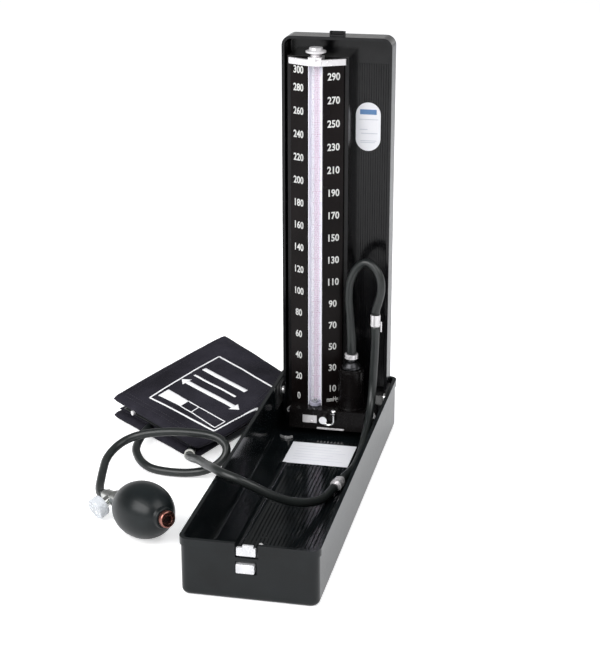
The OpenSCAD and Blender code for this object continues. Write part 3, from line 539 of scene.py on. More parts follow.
BULB_ROUTE = [
    (-147, -50.7, 13.9), (-151.5, -46.9, 13.1), (-155.5, -37, 13.6), (-158, -26, 15), (-160.5, -14, 16.5),
    (-163.5, 4, 18.5), (-162, 20, 21), (-156, 30, 24.5), (-146.5, 35, 28), (-134, 36.5, 31), (-117, 38, 33),
    (-98, 39.5, 33), (-83, 40, 31.5), (-74, 37.5, 29), (-69, 33.5, 25), (-69, 29, 19.5), (-74.5, 26, 13),
    (-83, 23.5, 8), (-96, 22, 4.8), (-113, 21.5, 3.9), (-130, 24, 4.2), (-141, 31, 5.5), (-148.5, 41, 7),
    (-154, 54, 8.5), (-156.5, 78, 9.2), (-156, 98, 9),
]
RING_STEP = 2.5 * MM
ROUTE_SPLITS = 6


def hose(name, route, swell, body):
    """A rubber hose along its route.

    swell gives its radius as a share of the usual one, from its start at 0 to its end at 1.
    """
    path = evenly([p * MM for p in spline(route, ROUTE_SPLITS)], RING_STEP)
    points, faces = tube_mesh(path, lambda t: HOSE_D / 2 * swell(t))
    piece = piece_from(name, points, faces, hose_rubber, body)
    return piece


def near(t, at, width):
    """1 at one place along a hose, falling to 0 over a width."""
    return max(0.0, 1 - abs(t - at) / width)


manometer_hose = hose(
    "manometer_tube", MANOMETER_ROUTE,
    lambda t: 1.0 + 0.22 * near(t, 0, 0.22) ** 0.6 + 0.06 * near(t, 1, 0.1), "lid",
)
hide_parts("manometer_hose")
lower_hose = hose(
    "lower_tube", LOWER_ROUTE,
    lambda t: 1.0 + 0.06 * near(t, 0, 0.08) + 0.05 * near(t, 1, 0.08), None,
)
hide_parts("lower_hose")
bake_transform(lower_hose)
cuff_hose = hose(
    "cuff_tube", CUFF_ROUTE,
    lambda t: 1.0 + 0.05 * near(t, 0, 0.06), "base",
)
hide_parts("cuff_hose")
bulb_hose = hose(
    "bulb_tube", BULB_ROUTE,
    lambda t: 1.0 + 0.07 * near(t, 0, 0.05), "base",
)
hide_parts("bulb_hose")


# ---------- cuff ----------

CUFF_FRONT = (Vector((-103, 53)), Vector((-199, 131)))
CUFF_BACK = (Vector((-56, 187)), Vector((-120, 258)))
CUFF_LAYER, CUFF_FRONT_H, CUFF_BACK_H, CUFF_CROWN = 7.5, 18.5, 40.0, 1.5
CUFF_FAR_RISE = 5.0
CUFF_LEAN, CUFF_SIDE_X = 21.0, -53.5
FOLD_S, LAYER_S, GAP_Z = 0.12, 0.055, 0.5
CUFF_STEPS, RING_SPLITS = 72, 5
HEM_W, HEM_SHARE = 4.5, 0.22
WRINKLE_H, WRINKLE_IN = 0.55, 14
WRINKLE_BROAD, WRINKLE_FINE = 0.035, 0.11
BAND_FOOT = 0.1
TABLE_GAP = 0.0001  # in metres
# the band's section: lower runs as (s, height), upper runs as (s, depth or rise from its top line)
OUTER_LOWER = ((0, 2.6), (0.015, 0.5), (0.05, 0.15), (0.2, BAND_FOOT), (0.45, BAND_FOOT), (0.7, BAND_FOOT))
OUTER_UPPER = ((0.68, -0.8), (0.45, -1), (0.22, -0.6), (0.05, 0.3), (0.015, 1.0), (0, 3.4))
INNER_LOWER = ((0, 4.9), (0.015, 7.1), *((s, CUFF_LAYER) for s in (0.05, 0.2, 0.45, 0.7)))
INNER_UPPER = ((0.68, 0), (0.45, 0), (0.22, 0), (0.05, 0), (0.015, 0.4), (0, 2.7))
# the layers inside the fold: their start and run as shares of the cuff's depth, and the gap at
# each face as a share of the height inside the fold
LAYER_FROM_S, LAYER_RUN_S, LAYER_GAP = 0.03, 0.81, 0.02


def crown(t):
    """How far the cuff's top stands above its straight line, more towards its far end."""
    return CUFF_CROWN * math.sin(math.pi * t) + CUFF_FAR_RISE * t * t


def top_line(t, s, drop):
    """Height of the cuff's top at (t, s), less a drop."""
    return CUFF_FRONT_H + (CUFF_BACK_H - CUFF_FRONT_H) * s / (1 - FOLD_S) + crown(t) - drop


def on_cuff(t, s, z):
    """A point s of the way from the front line to the back line; upper layers lean over to the tray."""
    a, b = CUFF_FRONT[0].lerp(CUFF_FRONT[1], t), CUFF_BACK[0].lerp(CUFF_BACK[1], t)
    share = max(0.0, min(1.0, (z - CUFF_LAYER) / top_line(t, s, 2 * CUFF_LAYER)))
    lean = CUFF_LEAN * (1 - t) * max(0.0, 4 * s * (1 - s)) ** 0.7 * share
    at = a.lerp(b, s)
    return Vector((min(at.x + lean, CUFF_SIDE_X), at.y - lean / 3, z))


def fold_arc(t, low, high, inset, count=8):
    """Half round of the back fold, from its lower to its upper side."""
    arc = []
    for k in range(count + 1):
        angle = math.pi * k / count - math.pi / 2
        s = 1 - FOLD_S + (FOLD_S - inset) * math.cos(angle)
        arc.append(on_cuff(t, s, (low + high) / 2 + (high - low) / 2 * math.sin(angle)))
    return arc


def cover_sides(t):
    """Outer and inner line of the folded band at t, both from the lower front to the upper front."""
    top_z = CUFF_BACK_H + crown(t)
    outer = [on_cuff(t, s, z) for s, z in OUTER_LOWER]
    outer += fold_arc(t, BAND_FOOT, top_z, 0)
    outer += [on_cuff(t, s, top_line(t, s, depth)) for s, depth in OUTER_UPPER]
    inner = [on_cuff(t, s, z) for s, z in INNER_LOWER]
    inner += fold_arc(t, CUFF_LAYER, top_z - CUFF_LAYER, LAYER_S)
    inner += [on_cuff(t, s, top_line(t, s, CUFF_LAYER - rise)) for s, rise in INNER_UPPER]
    return spline(outer, RING_SPLITS), spline(inner, RING_SPLITS)


def rounded(distance, width, least):
    """Share of the full thickness at a distance from a rounded edge."""
    share = min(1.0, max(0.0, distance / width))
    return max(least, math.sqrt(1 - (1 - share) ** 2))


def wrinkle(at, strength):
    """Soft unevenness of cloth, in millimetres."""
    broad = noise.noise(Vector(at) * WRINKLE_BROAD)
    fine = noise.noise(Vector(at) * WRINKLE_FINE + Vector((7, 3, 1)))
    return strength * (broad + 0.35 * fine)


def cloth_skin(rings):
    """Points and faces of a closed skin over rings of equal size, capped by strips across the ring."""
    size = len(rings[0])
    points = [p for ring in rings for p in ring]
    faces = ring_faces(len(rings), size)
    last = (len(rings) - 1) * size
    for k in range(size // 2 - 1):
        quad = (k, k + 1, size - 2 - k, size - 1 - k)
        faces.append(quad[::-1])
        faces.append(tuple(last + q for q in quad))
    return points, faces


def make_cuff_cover():
    """The cloth band, folded once at the back, with drawn-in hems and a soft unevenness."""
    rings = []
    width = (CUFF_FRONT[1] - CUFF_FRONT[0]).length
    for i in range(CUFF_STEPS + 1):
        # steps are closer together near both hems
        t = 0.5 - 0.5 * math.cos(math.pi * i / CUFF_STEPS)
        outer, inner = cover_sides(t)
        share = rounded(min(t, 1 - t) * width, HEM_W, HEM_SHARE)
        ring_out, ring_in = [], []
        for a, b in zip(outer, inner):
            middle = (a + b) / 2
            way = (a - middle).normalized()
            puff = wrinkle(a, WRINKLE_H) * rounded(min(t, 1 - t) * width, WRINKLE_IN, 0.0)
            ring_out.append(middle + (a - middle) * share + way * puff)
            ring_in.append(middle + (b - middle) * share)
        rings.append([p * MM for p in ring_out + ring_in[::-1]])
    points, faces = cloth_skin(rings)
    points = [Vector((p.x, p.y, max(p.z, TABLE_GAP))) for p in points]
    piece = piece_from("cuff_band", points, faces, cuff_cloth, "base")
    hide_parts("cuff_cover")
    return piece


def wedge_line(t, s, share):
    """A point a share of the way up the space inside the fold."""
    low, high = CUFF_LAYER + GAP_Z, top_line(t, s, CUFF_LAYER + GAP_Z)
    return on_cuff(t, s, low + (high - low) * share)


def make_inner_layer(name, low, high, t_inset, finish):
    """One soft layer of the wedge inside the fold."""
    rings = []
    steps, runs = 30, 14
    for i in range(steps + 1):
        t = t_inset + (1 - 2 * t_inset) * i / steps
        edge = rounded(min(i, steps - i) / steps * 100, 6, 0.25)
        lower, upper = [], []
        for k in range(runs + 1):
            s = LAYER_FROM_S + LAYER_RUN_S * k / runs
            share = edge * rounded(k / runs * 100, 5, 0.3)
            middle = wedge_line(t, s, (low + high) / 2)
            a, b = wedge_line(t, s, low + LAYER_GAP), wedge_line(t, s, high - LAYER_GAP)
            lower.append((middle + (a - middle) * share) * MM)
            upper.append((middle + (b - middle) * share) * MM)
        rings.append(lower + upper[::-1])
    points, faces = cloth_skin(rings)
    return piece_from(name, points, faces, finish, "base")


cuff_band = make_cuff_cover()
inner_low = make_inner_layer("cuff_layer_low", 0.0, 0.33, 0.02, cuff_cloth)
inner_high = make_inner_layer("cuff_layer_high", 0.67, 1.0, 0.02, cuff_cloth)
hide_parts("cuff_inner_layers")
bladder = make_inner_layer("cuff_bladder_rubber", 0.35, 0.65, 0.08, hose_rubber)
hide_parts("cuff_bladder")


cuff_tree = BVHTree.FromPolygons(
    [v.co[:] for v in cuff_band.data.vertices], [p.vertices[:] for p in cuff_band.data.polygons]
)
RAY_FROM_Z = 0.1  # in metres


def drop_on(x, y, lift):
    """The point on the cuff below (x, y), in millimetres, raised along its normal, and that normal."""
    found, normal, _, _ = cuff_tree.ray_cast(Vector((x * MM, y * MM, RAY_FROM_Z)), Vector((0, 0, -1)))
    if found is None:
        return None
    if normal.z < 0:
        normal = -normal
    return found + normal * lift * MM, normal


PRINT_STEP, PRINT_LIFT, PRINT_DEPTH = 2.0, 0.14, 0.3
STRIP_SAMPLES, TOP_NORMAL_Z = 80, 0.6


def printed_patch(corners):
    """Points and faces of a thin printed patch that lies on the cuff inside four corners."""
    a, b, c, d = (Vector(p) for p in corners)
    across = max(1, round((b - a).length / PRINT_STEP))
    along = max(1, round((d - a).length / PRINT_STEP))
    top, faces = [], []
    for j in range(along + 1):
        for i in range(across + 1):
            at = a.lerp(b, i / across).lerp(d.lerp(c, i / across), j / along)
            hit = drop_on(at.x, at.y, PRINT_LIFT)
            if hit is None:
                return [], []
            top.append(hit)
    count = len(top)
    points = [p for p, _ in top] + [p - n * PRINT_DEPTH * MM for p, n in top]

    def index(i, j):
        return j * (across + 1) + i

    for j in range(along):
        for i in range(across):
            quad = (index(i, j), index(i + 1, j), index(i + 1, j + 1), index(i, j + 1))
            faces += [quad, tuple(q + count for q in quad[::-1])]
    rim = [index(i, 0) for i in range(across)] + [index(across, j) for j in range(along)]
    rim += [index(i, along) for i in range(across, 0, -1)] + [index(0, j) for j in range(along, 0, -1)]
    for p, q in zip(rim, rim[1:] + rim[:1]):
        faces.append((q, p, p + count, q + count))
    return points, faces


def strip_between(a, b, width):
    """Corners of a straight printed line from a to b, as far as the cloth's top goes."""
    a, b = Vector(a), Vector(b)
    side = (b - a).normalized().orthogonal() * width / 2
    kept = []
    for k in range(STRIP_SAMPLES + 1):
        at = a.lerp(b, k / STRIP_SAMPLES)
        hits = [drop_on(q.x, q.y, 0) for q in (at - side, at + side)]
        if all(h and h[1].z > TOP_NORMAL_Z for h in hits):
            kept.append(at)
    a, b = kept[0], kept[-1]
    side = (b - a).normalized().orthogonal() * width / 2
    return [a - side, b - side, b + side, a + side]


def add_shapes(points, faces, more, shapes):
    """Joins another set of points and faces to a growing mesh."""
    base = len(points)
    points.extend(more)
    faces.extend(tuple(base + q for q in shape) for shape in shapes)


# printed frame, boxes, arrow and bars on the top of the cuff, in millimetres on the table's plan
PRINT_FRAME = [(-119.2, 201), (-163.4, 126), (-89.5, 70.7), (-58, 114), (-56.5, 146)]
PRINT_LINE_W, BOX_LINE_W = 1.7, 1.0
BOX_FRONT = [(-156.6, 129.4), (-130.6, 110.4), (-118.1, 100.4), (-90.4, 76)]
BOX_BACK = [(-149.9, 139.4), (-125.6, 119), (-113.4, 108.8), (-83.9, 86)]
ARROW_LINES = [((-137, 153), (-82, 110), 4.4), ((-133, 165), (-85, 127), 2.2), ((-127, 176), (-78, 137), 4.4)]
ARROW_HEAD, ARROW_OVERLAP, ARROW_WING, ARROW_TIP = 7.0, 1.0, 0.75, 0.2


def make_cuff_print():
    """White frame with three boxes, the first filled, a plain two-ended arrow and two plain bars."""
    points, faces = [], []

    def line(a, b, width):
        add_shapes(points, faces, *printed_patch(strip_between(a, b, width)))

    corners = PRINT_FRAME
    for a, b in ((0, 1), (1, 2), (2, 3), (0, 4)):
        line(corners[a], corners[b], PRINT_LINE_W)
    filled = [BOX_FRONT[0], BOX_FRONT[1], BOX_BACK[1], BOX_BACK[0]]
    add_shapes(points, faces, *printed_patch(filled))
    for row in (BOX_FRONT, BOX_BACK):
        for a, b in zip(row[1:], row[2:]):
            line(a, b, BOX_LINE_W)
    for a, b in zip(BOX_FRONT[2:], BOX_BACK[2:]):
        line(a, b, BOX_LINE_W)
    for a, b, width in ARROW_LINES:
        line(a, b, width)
    a, b = (Vector(p) for p in ARROW_LINES[0][:2])
    ahead = (b - a).normalized()
    side = Vector((-ahead.y, ahead.x))
    for tip, sign in ((a, -1), (b, 1)):
        start = tip - sign * ahead * ARROW_OVERLAP
        far = tip + sign * ahead * ARROW_HEAD
        wing, point = side * ARROW_HEAD * ARROW_WING, side * ARROW_TIP
        head = [start - wing, far - point, far + point, start + wing]
        add_shapes(points, faces, *printed_patch(head))
    piece_from("cuff_print", points, faces, print_white, "base")


make_cuff_print()


STITCH_L, STITCH_GAP, STITCH_R, STITCH_LIFT = 2.4, 1.1, 0.28, 0.08
STITCH_SIDES = 6
STITCH_INSETS = (5.0, 8.5)
# the cuff's width and depth for the insets, and a height above it, where its layers lean in full
STITCH_W, STITCH_DEPTH, ABOVE_CUFF = 120, 130, 50


def stitch_radius(t):
    """A stitch is thin at both ends, where it goes into the cloth."""
    return STITCH_R * MM * (0.35 + 0.65 * math.sin(math.pi * t))


def stitch_run(points, faces, line):
    """Adds a row of stitches along points that lie on the cloth."""
    p, at = measured(line)
    pitch = (STITCH_L + STITCH_GAP) * MM
    for k in range(int(at[-1] / pitch)):
        start, end = sampled(p, at, [k * pitch, k * pitch + STITCH_L * MM])
        way = end - start
        path = [start, start + way * 0.25, start + way * 0.75, end]
        add_shapes(points, faces, *tube_mesh(path, stitch_radius, STITCH_SIDES))


def make_cuff_stitches():
    """Two-needle hem stitching near the free edges of the upper layer and down the front hems."""
    points, faces = [], []
    for inset in STITCH_INSETS:
        share = inset / STITCH_W
        runs = [[on_cuff(t, s / 40, ABOVE_CUFF) for s in range(2, 35)] for t in (share, 1 - share)]
        runs.append([on_cuff(0.05 + 0.9 * k / 30, inset / STITCH_DEPTH, ABOVE_CUFF) for k in range(31)])
        for run in runs:
            hits = [drop_on(q.x, q.y, STITCH_LIFT) for q in run]
            stitch_run(points, faces, [h[0] for h in hits if h])
    piece = piece_from("cuff_stitches", points, faces, thread_dark, "base")


make_cuff_stitches()


TAB_AT = (0.25, 0.62)
TAB_W, TAB_T, TAB_Z = 8.0, 1.0, 4.0
TAB_HOLE_R, TAB_HOLE_IN, TAB_HOLE_SIDES = 2.0, 5.0, 24
TAB_CORNER, TAB_CORNER_STEPS = 2.2, 6
TAB_DIP, TAB_WAVE, TAB_EDGE = 0.35, 0.12, 0.25


def make_cuff_tab():
    """Pale tab with an eyelet, sewn under the cuff's edge, with soft corners."""
    a, b = on_cuff(0, TAB_AT[0], 0), on_cuff(0, TAB_AT[1], 0)
    along = (b - a).normalized()
    out = Vector((along.y, -along.x, 0))
    length = (b - a).length
    hole = Vector((length - TAB_HOLE_IN, TAB_W / 2))
    made = bmesh.new()
    outline = []
    for centre_x, start in ((length - TAB_CORNER, 0), (TAB_CORNER, 90)):
        for k in range(TAB_CORNER_STEPS + 1):
            angle = math.radians(start + 90 * k / TAB_CORNER_STEPS)
            x = centre_x + TAB_CORNER * math.cos(angle)
            y = TAB_W - TAB_CORNER + TAB_CORNER * math.sin(angle)
            outline.append(Vector((x, y)))
    outline += [Vector((0, 0)), Vector((length, 0))]
    ring = []
    for k in range(TAB_HOLE_SIDES):
        angle = math.tau * k / TAB_HOLE_SIDES
        ring.append(hole + TAB_HOLE_R * Vector((math.cos(angle), math.sin(angle))))
    loops = []
    for chain in (outline, ring):
        verts = [made.verts.new((q.x, q.y, 0)) for q in chain]
        loops += [made.edges.new((p, q)) for p, q in zip(verts, verts[1:] + verts[:1])]
    bmesh.ops.triangle_fill(made, use_beauty=True, edges=loops)
    raised = bmesh.ops.extrude_face_region(made, geom=made.faces[:])
    for v in raised["geom"]:
        if isinstance(v, bmesh.types.BMVert):
            v.co.z += TAB_T
    for v in made.verts:
        x, y, z = v.co
        dip = TAB_DIP * math.sin(x * TAB_WAVE) * (y / TAB_W)
        v.co = (a + along * x + out * y + Vector((0, 0, TAB_Z + z + dip))) * MM
    bmesh.ops.recalc_face_normals(made, faces=made.faces)
    mesh = bpy.data.meshes.new("cuff_pull_tab")
    made.to_mesh(mesh)
    made.free()
    mesh.materials.append(tab_pale)
    piece = linked("cuff_pull_tab", mesh)
    bevel = piece.modifiers.new("edges", "BEVEL")
    bevel.width, bevel.segments, bevel.limit_method = TAB_EDGE * MM, 2, "ANGLE"
    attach(piece, "base")
    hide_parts("cuff_tab")


make_cuff_tab()


# ---------- bulb ----------

BULB_AT = Vector((-103, -87.6, 22)) * MM
BULB_AZ, BULB_EL = -40, 8
BULB_R, BULB_HALF, NECK_R, NECK_Z = 22 * MM, 29 * MM, 8 * MM, 31 * MM
BULB_ROUNDS, BULB_SECTIONS = 96, 56
SEAM_H, BULB_TABLE_GAP = 0.00018, 0.0002  # in metres
# a neck's rim from its hole outwards: share of the neck's radius, and how far in from its end
NECK_RIM = ((0.72, 0.0), (0.96, 0.0), (1.04, 0.0008))
bulb_frame = (
    Matrix.Translation(BULB_AT)
    @ Matrix.Rotation(math.radians(BULB_AZ), 4, "Z")
    @ Matrix.Rotation(math.radians(90 - BULB_EL), 4, "Y")
)


def make_bulb():
    """Rubber egg with a faint moulding seam and a bead at each neck."""
    limit = math.acos(NECK_R / BULB_R)
    outline = [(NECK_R * share, -NECK_Z + inward) for share, inward in NECK_RIM]
    for k in range(BULB_SECTIONS + 1):
        angle = limit * (2 * k / BULB_SECTIONS - 1)
        outline.append((BULB_R * math.cos(angle), BULB_HALF * math.sin(angle)))
    outline += [(NECK_R * share, NECK_Z - inward) for share, inward in NECK_RIM[::-1]]
    points = []
    for radius, height in outline:
        for k in range(BULB_ROUNDS):
            angle = math.tau * k / BULB_ROUNDS
            on_seam = k % (BULB_ROUNDS // 2) == BULB_ROUNDS // 8 and radius > NECK_R * 1.1
            r = radius + (SEAM_H if on_seam else 0.0)
            at = bulb_frame @ Vector((r * math.cos(angle), r * math.sin(angle), height))
            points.append(Vector((at.x, at.y, max(at.z, BULB_TABLE_GAP))))
    faces = capped_faces(len(outline), BULB_ROUNDS)
    piece = piece_from("bulb_rubber_shell", points, faces, bulb_rubber, "base")
    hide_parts("bulb_shell")


make_bulb()


# ---------- numbers and graduations ----------

COLUMN_X, MMHG, ZERO_Z = -15.5, 0.975, 32.5
WING_IN, WING_Y0, WING_A = 6.8, 134.0, math.radians(28.5)
STRIP_FLOOR_Y = 141.4
NUMBER_S, NUMBER_H, NUMBER_SHARE = 9.1, 8.4, 0.86
# the number 300 sits a little low, at 295, the 0 a little high, and the unit at the foot is smaller
TOP_NUMBER, TOP_NUMBER_AT, ZERO_LIFT = 300, 295, 1.0
UNIT_H, UNIT_SHARE, UNIT_DROP = 6.0, 0.62, 0.2
# half thickness of the print in metres, and how much bolder it is, as a share of its size
TEXT_T, TEXT_BOLD = 0.00006, 0.02
# half length and half thickness of the graduations, the pink band's half width and both ends
TENS_TICK, EVEN_TICK = (3.4, 0.2), (2.1, 0.13)
BAND_HALF, BAND_LOW_Z, BAND_HIGH_Z = 2.2, 28, 324.5
TICK_PROUD, BAND_PROUD, STRIP_SUNK = 0.1, 0.05, 0.05


def text_mesh(body, size, width_share):
    """Flat mesh of a short text, centred."""
    curve = bpy.data.curves.new("text", "FONT")
    curve.body = body
    curve.size = size
    curve.extrude = TEXT_T
    curve.offset = size * TEXT_BOLD
    curve.align_x, curve.align_y = "CENTER", "CENTER"
    curve.resolution_u = 3
    made = linked("text", curve)
    bpy.context.view_layer.update()
    evaluated = made.evaluated_get(bpy.context.evaluated_depsgraph_get())
    mesh = bpy.data.meshes.new_from_object(evaluated)
    bpy.data.objects.remove(made)
    mesh.transform(Matrix.Diagonal((width_share, 1, 1, 1)))
    return mesh


def plate_place(side, s, z):
    """Matrix that lays a text on a scale plate.

    side is -1 for the left plate and 1 for the right, and s runs along it from its inner edge.
    """
    x = COLUMN_X + side * (WING_IN + s * math.cos(WING_A))
    y = WING_Y0 + s * math.sin(WING_A)
    along = Vector((math.cos(WING_A), side * math.sin(WING_A), 0))
    normal = along.cross(Vector((0, 0, 1)))
    turn = Matrix((along, Vector((0, 0, 1)), normal)).transposed().to_4x4()
    return Matrix.Translation(Vector((x, y, z)) * MM + normal * TEXT_T) @ turn


def make_numbers():
    """Numbers on both plates, twenties on the left and tens between them on the right, and the unit."""
    made = bmesh.new()

    def write(body, size, share, side, z):
        mesh = text_mesh(body, size * MM, share)
        mesh.transform(plate_place(side, NUMBER_S, z))
        made.from_mesh(mesh)
        bpy.data.meshes.remove(mesh)

    left = [(v, -1) for v in range(0, TOP_NUMBER + 1, 20)]
    right = [(v, 1) for v in range(10, TOP_NUMBER, 20)]
    for value, side in left + right:
        z = ZERO_Z + MMHG * (value if value < TOP_NUMBER else TOP_NUMBER_AT)
        z = z + ZERO_LIFT if value == 0 else z
        write(str(value), NUMBER_H, NUMBER_SHARE, side, z)
    write("mmHg", UNIT_H, UNIT_SHARE, 1, ZERO_Z - UNIT_DROP)
    mesh = bpy.data.meshes.new("scale_numbers")
    made.to_mesh(mesh)
    made.free()
    mesh.materials.append(number_white)
    piece = linked("scale_numbers", mesh)
    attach(piece, "lid")


def front_box(xs, zs, y, proud, sunk):
    """Lowest and highest corner of a thin box on a face that looks to the front."""
    return (xs[0], y - proud, zs[0]), (xs[1], y + sunk, zs[1])


def boxes_piece(name, boxes, finish, body):
    """One mesh of many small boxes, each given by its lowest and highest corner in millimetres."""
    points, faces = [], []
    for low, high in boxes:
        base = len(points)
        for k in range(8):
            points.append(Vector([(high if k >> axis & 1 else low)[axis] * MM for axis in range(3)]))
        for quad in ((0, 2, 3, 1), (4, 5, 7, 6), (0, 1, 5, 4), (2, 6, 7, 3), (0, 4, 6, 2), (1, 3, 7, 5)):
            faces.append(tuple(base + q for q in quad))
    piece_from(name, points, faces, finish, body, smooth=False)


def make_graduations():
    """A pink line every 2 mmHg, longer at the tens, over a paler band."""
    ticks = []
    for value in range(0, TOP_NUMBER + 1, 2):
        half, thick = EVEN_TICK if value % 10 else TENS_TICK
        z = ZERO_Z + MMHG * value
        if z < BAND_HIGH_Z:
            xs, zs = (COLUMN_X - half, COLUMN_X + half), (z - thick, z + thick)
            ticks.append(front_box(xs, zs, STRIP_FLOOR_Y, TICK_PROUD, STRIP_SUNK))
    boxes_piece("graduation_lines", ticks, print_pink, "lid")
    xs, zs = (COLUMN_X - BAND_HALF, COLUMN_X + BAND_HALF), (BAND_LOW_Z, BAND_HIGH_Z)
    band = [front_box(xs, zs, STRIP_FLOOR_Y, BAND_PROUD, STRIP_SUNK)]
    boxes_piece("graduation_band", band, band_pink, "lid")


make_numbers()
make_graduations()


# ---------- small trim ----------

# label lines as height and both ends from the label's middle, then its band, in millimetres
LABEL_LINES = ((5.9, -7.5, 8.5), (-2.6, -7, -0.5), (-5.9, -6, 8), (-12.2, -6.5, 7), (-13.6, -6.5, 6))
LABEL_LINE_T, LABEL_BAND_HALF, LABEL_BAND_Z = 0.6, 7, (10.4, 14.6)
LABEL_PROUD, TRIM_SUNK = 0.06, 0.02
CARD_LINES, CARD_FIRST, CARD_PITCH, CARD_LINE_T, CARD_PROUD = 6, 8, 5.5, 0.35, 0.04
CARD_MARGIN, CARD_RAGGED = 6, 5


def make_label_lines():
    """Plain ruled lines on the oval label and the floor card."""
    low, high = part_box("lid_label")
    middle_x, front_y, middle_z = (low.x + high.x) / 2 / MM, low.y / MM, (low.z + high.z) / 2 / MM
    lines = []
    for up, from_x, to_x in LABEL_LINES:
        xs, zs = (middle_x + from_x, middle_x + to_x), (middle_z + up, middle_z + up + LABEL_LINE_T)
        lines.append(front_box(xs, zs, front_y, LABEL_PROUD, TRIM_SUNK))
    boxes_piece("label_lines", lines, line_grey, "lid")
    xs = (middle_x - LABEL_BAND_HALF, middle_x + LABEL_BAND_HALF)
    band = [front_box(xs, [middle_z + up for up in LABEL_BAND_Z], front_y, LABEL_PROUD, TRIM_SUNK)]
    boxes_piece("label_band", band, line_blue, "lid")
    low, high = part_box("floor_card")
    left, right, near_y, top = low.x / MM, high.x / MM, low.y / MM, high.z / MM
    lines = []
    for k in range(CARD_LINES):
        y = near_y + CARD_FIRST + CARD_PITCH * k
        end = right - CARD_MARGIN - CARD_RAGGED * (k % 3)
        lines.append(((left + CARD_MARGIN, y, top - TRIM_SUNK), (end, y + CARD_LINE_T, top + CARD_PROUD)))
    boxes_piece("card_lines", lines, line_grey, "base")


SCREW_XS, SCREW_Z = (-38.8, 35), 19
# size of the painted shade crosses on the screw heads, and how far they stand proud of the heads
RECESS_L, RECESS_W, RECESS_PROUD = 1.7, 0.35, 0.04


def make_screw_recesses():
    """Painted shade: thin dark crosses on the two screw heads of the base block, standing in for the shade in
    their cross recesses.
    """
    front_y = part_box("base_screws")[0].y / MM
    crosses = []
    for x in SCREW_XS:
        for half_x, half_z in ((RECESS_L, RECESS_W), (RECESS_W, RECESS_L)):
            xs, zs = (x - half_x, x + half_x), (SCREW_Z - half_z, SCREW_Z + half_z)
            crosses.append(front_box(xs, zs, front_y, RECESS_PROUD, TRIM_SUNK))
    boxes_piece("screw_recess_shade", crosses, ferrule_dark, "lid")


make_label_lines()
make_screw_recesses()


# ---------- floor, light and world ----------

FLOOR_HALF = 14.0
# the floor's own glow where the camera sees it, and in reflections
FLOOR_SEEN, FLOOR_MIRRORED = 0.5, 0.12


def make_floor():
    """Pale floor that glows a little, so that it stays nearly white far from the lights."""
    corners = [(x * FLOOR_HALF, y * FLOOR_HALF, 0) for x, y in ((-1, -1), (1, -1), (1, 1), (-1, 1))]
    mesh = bpy.data.meshes.new("floor")
    mesh.from_pydata(corners, [], [(0, 1, 2, 3)])
    shader = Shader("floor_pale", Roughness=0.9, Specular_IOR_Level=0.1)
    shader.colour(shader.blend(shader.noise(2.0), (0.90, 0.90, 0.905), (0.92, 0.92, 0.925)))
    ray = shader.node("ShaderNodeLightPath").outputs
    seen = shader.math("MAXIMUM", ray["Is Camera Ray"], ray["Is Transmission Ray"])
    mirrored = shader.math("MULTIPLY", ray["Is Glossy Ray"], FLOOR_MIRRORED)
    glow = shader.math("MAXIMUM", shader.math("MULTIPLY", seen, FLOOR_SEEN), mirrored)
    shader.link(glow, shader.bsdf.inputs["Emission Strength"])
    shader.bsdf.inputs["Emission Color"].default_value = (1, 1, 1, 1)
    mesh.materials.append(shader.material)
    floor = linked("floor", mesh)


# the sky's strengths; in reflections it falls from the first to the second up to the split height
SKY_SEEN, SKY_AMBIENT, SKY_MIRRORED, SKY_SPLIT = 1.0, 0.5, (1.0, 0.22), 0.3


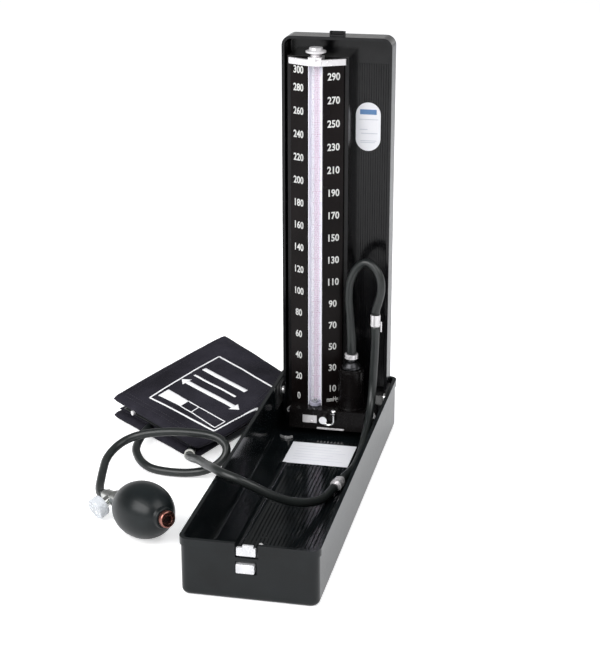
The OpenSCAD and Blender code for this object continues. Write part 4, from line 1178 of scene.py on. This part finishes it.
def make_world():
    """White where the camera sees it, plain ambient light, and in reflections pale low down and dim above."""
    world = bpy.data.worlds.new("studio")
    bpy.context.scene.world = world
    world.use_nodes = True
    tree = world.node_tree
    tree.nodes.clear()

    def made(kind, **settings):
        node = tree.nodes.new(kind)
        for key, value in settings.items():
            setattr(node, key, value)
        return node

    def background(strength, colour):
        node = made("ShaderNodeBackground")
        node.inputs["Color"].default_value = (*colour, 1)
        node.inputs["Strength"].default_value = strength
        return node

    def mixed(share, first, second):
        node = made("ShaderNodeMixShader")
        tree.links.new(share, node.inputs[0])
        tree.links.new(first.outputs[0], node.inputs[1])
        tree.links.new(second.outputs[0], node.inputs[2])
        return node

    path = made("ShaderNodeLightPath")
    seen = made("ShaderNodeMath", operation="MAXIMUM")
    tree.links.new(path.outputs["Is Camera Ray"], seen.inputs[0])
    tree.links.new(path.outputs["Is Transmission Ray"], seen.inputs[1])
    split = made("ShaderNodeSeparateXYZ")
    tree.links.new(made("ShaderNodeTexCoord").outputs["Generated"], split.inputs[0])
    height = made("ShaderNodeMapRange")
    ends = {"From Min": 0.0, "From Max": SKY_SPLIT, "To Min": SKY_MIRRORED[0], "To Max": SKY_MIRRORED[1]}
    for name, number in ends.items():
        height.inputs[name].default_value = number
    tree.links.new(split.outputs["Z"], height.inputs["Value"])
    mirrored = background(1.0, (1, 1, 1))
    tree.links.new(height.outputs["Result"], mirrored.inputs["Strength"])
    soft = mixed(path.outputs["Is Glossy Ray"], background(SKY_AMBIENT, (0.95, 0.97, 1.0)), mirrored)
    whole = mixed(seen.outputs[0], soft, background(SKY_SEEN, (1, 1, 1)))
    tree.links.new(whole.outputs[0], made("ShaderNodeOutputWorld").inputs["Surface"])


# name, place, aim, size and power of each softbox, and whether it shows in glossy surfaces
LIGHTS = (
    ("key", (-0.8, -1.45, 1.35), (0, 0, 0.12), (2.0, 1.5), 44, True),
    ("fill", (1.05, -0.4, 1.4), (-0.05, 0, 0.05), (1.3, 1.0), 11, True),
    ("back", (0.4, 1.6, 1.4), (0, 0, 0.1), (1.5, 0.8), 6, False),
)


def area_light(name, at, target, size, power, mirrored):
    """A softbox; with mirrored off it lights but doesn't show in glossy surfaces."""
    data = bpy.data.lights.new(name, "AREA")
    data.shape = "RECTANGLE"
    data.size, data.size_y = size
    data.energy = power
    light = linked(name, data)
    light.visible_glossy = mirrored
    light.location = at
    light.rotation_mode = "QUATERNION"
    light.rotation_quaternion = (Vector(target) - Vector(at)).to_track_quat("-Z", "Y")


make_floor()
make_world()
for light_settings in LIGHTS:
    area_light(*light_settings)

bpy.context.scene.view_settings.view_transform = "Standard"
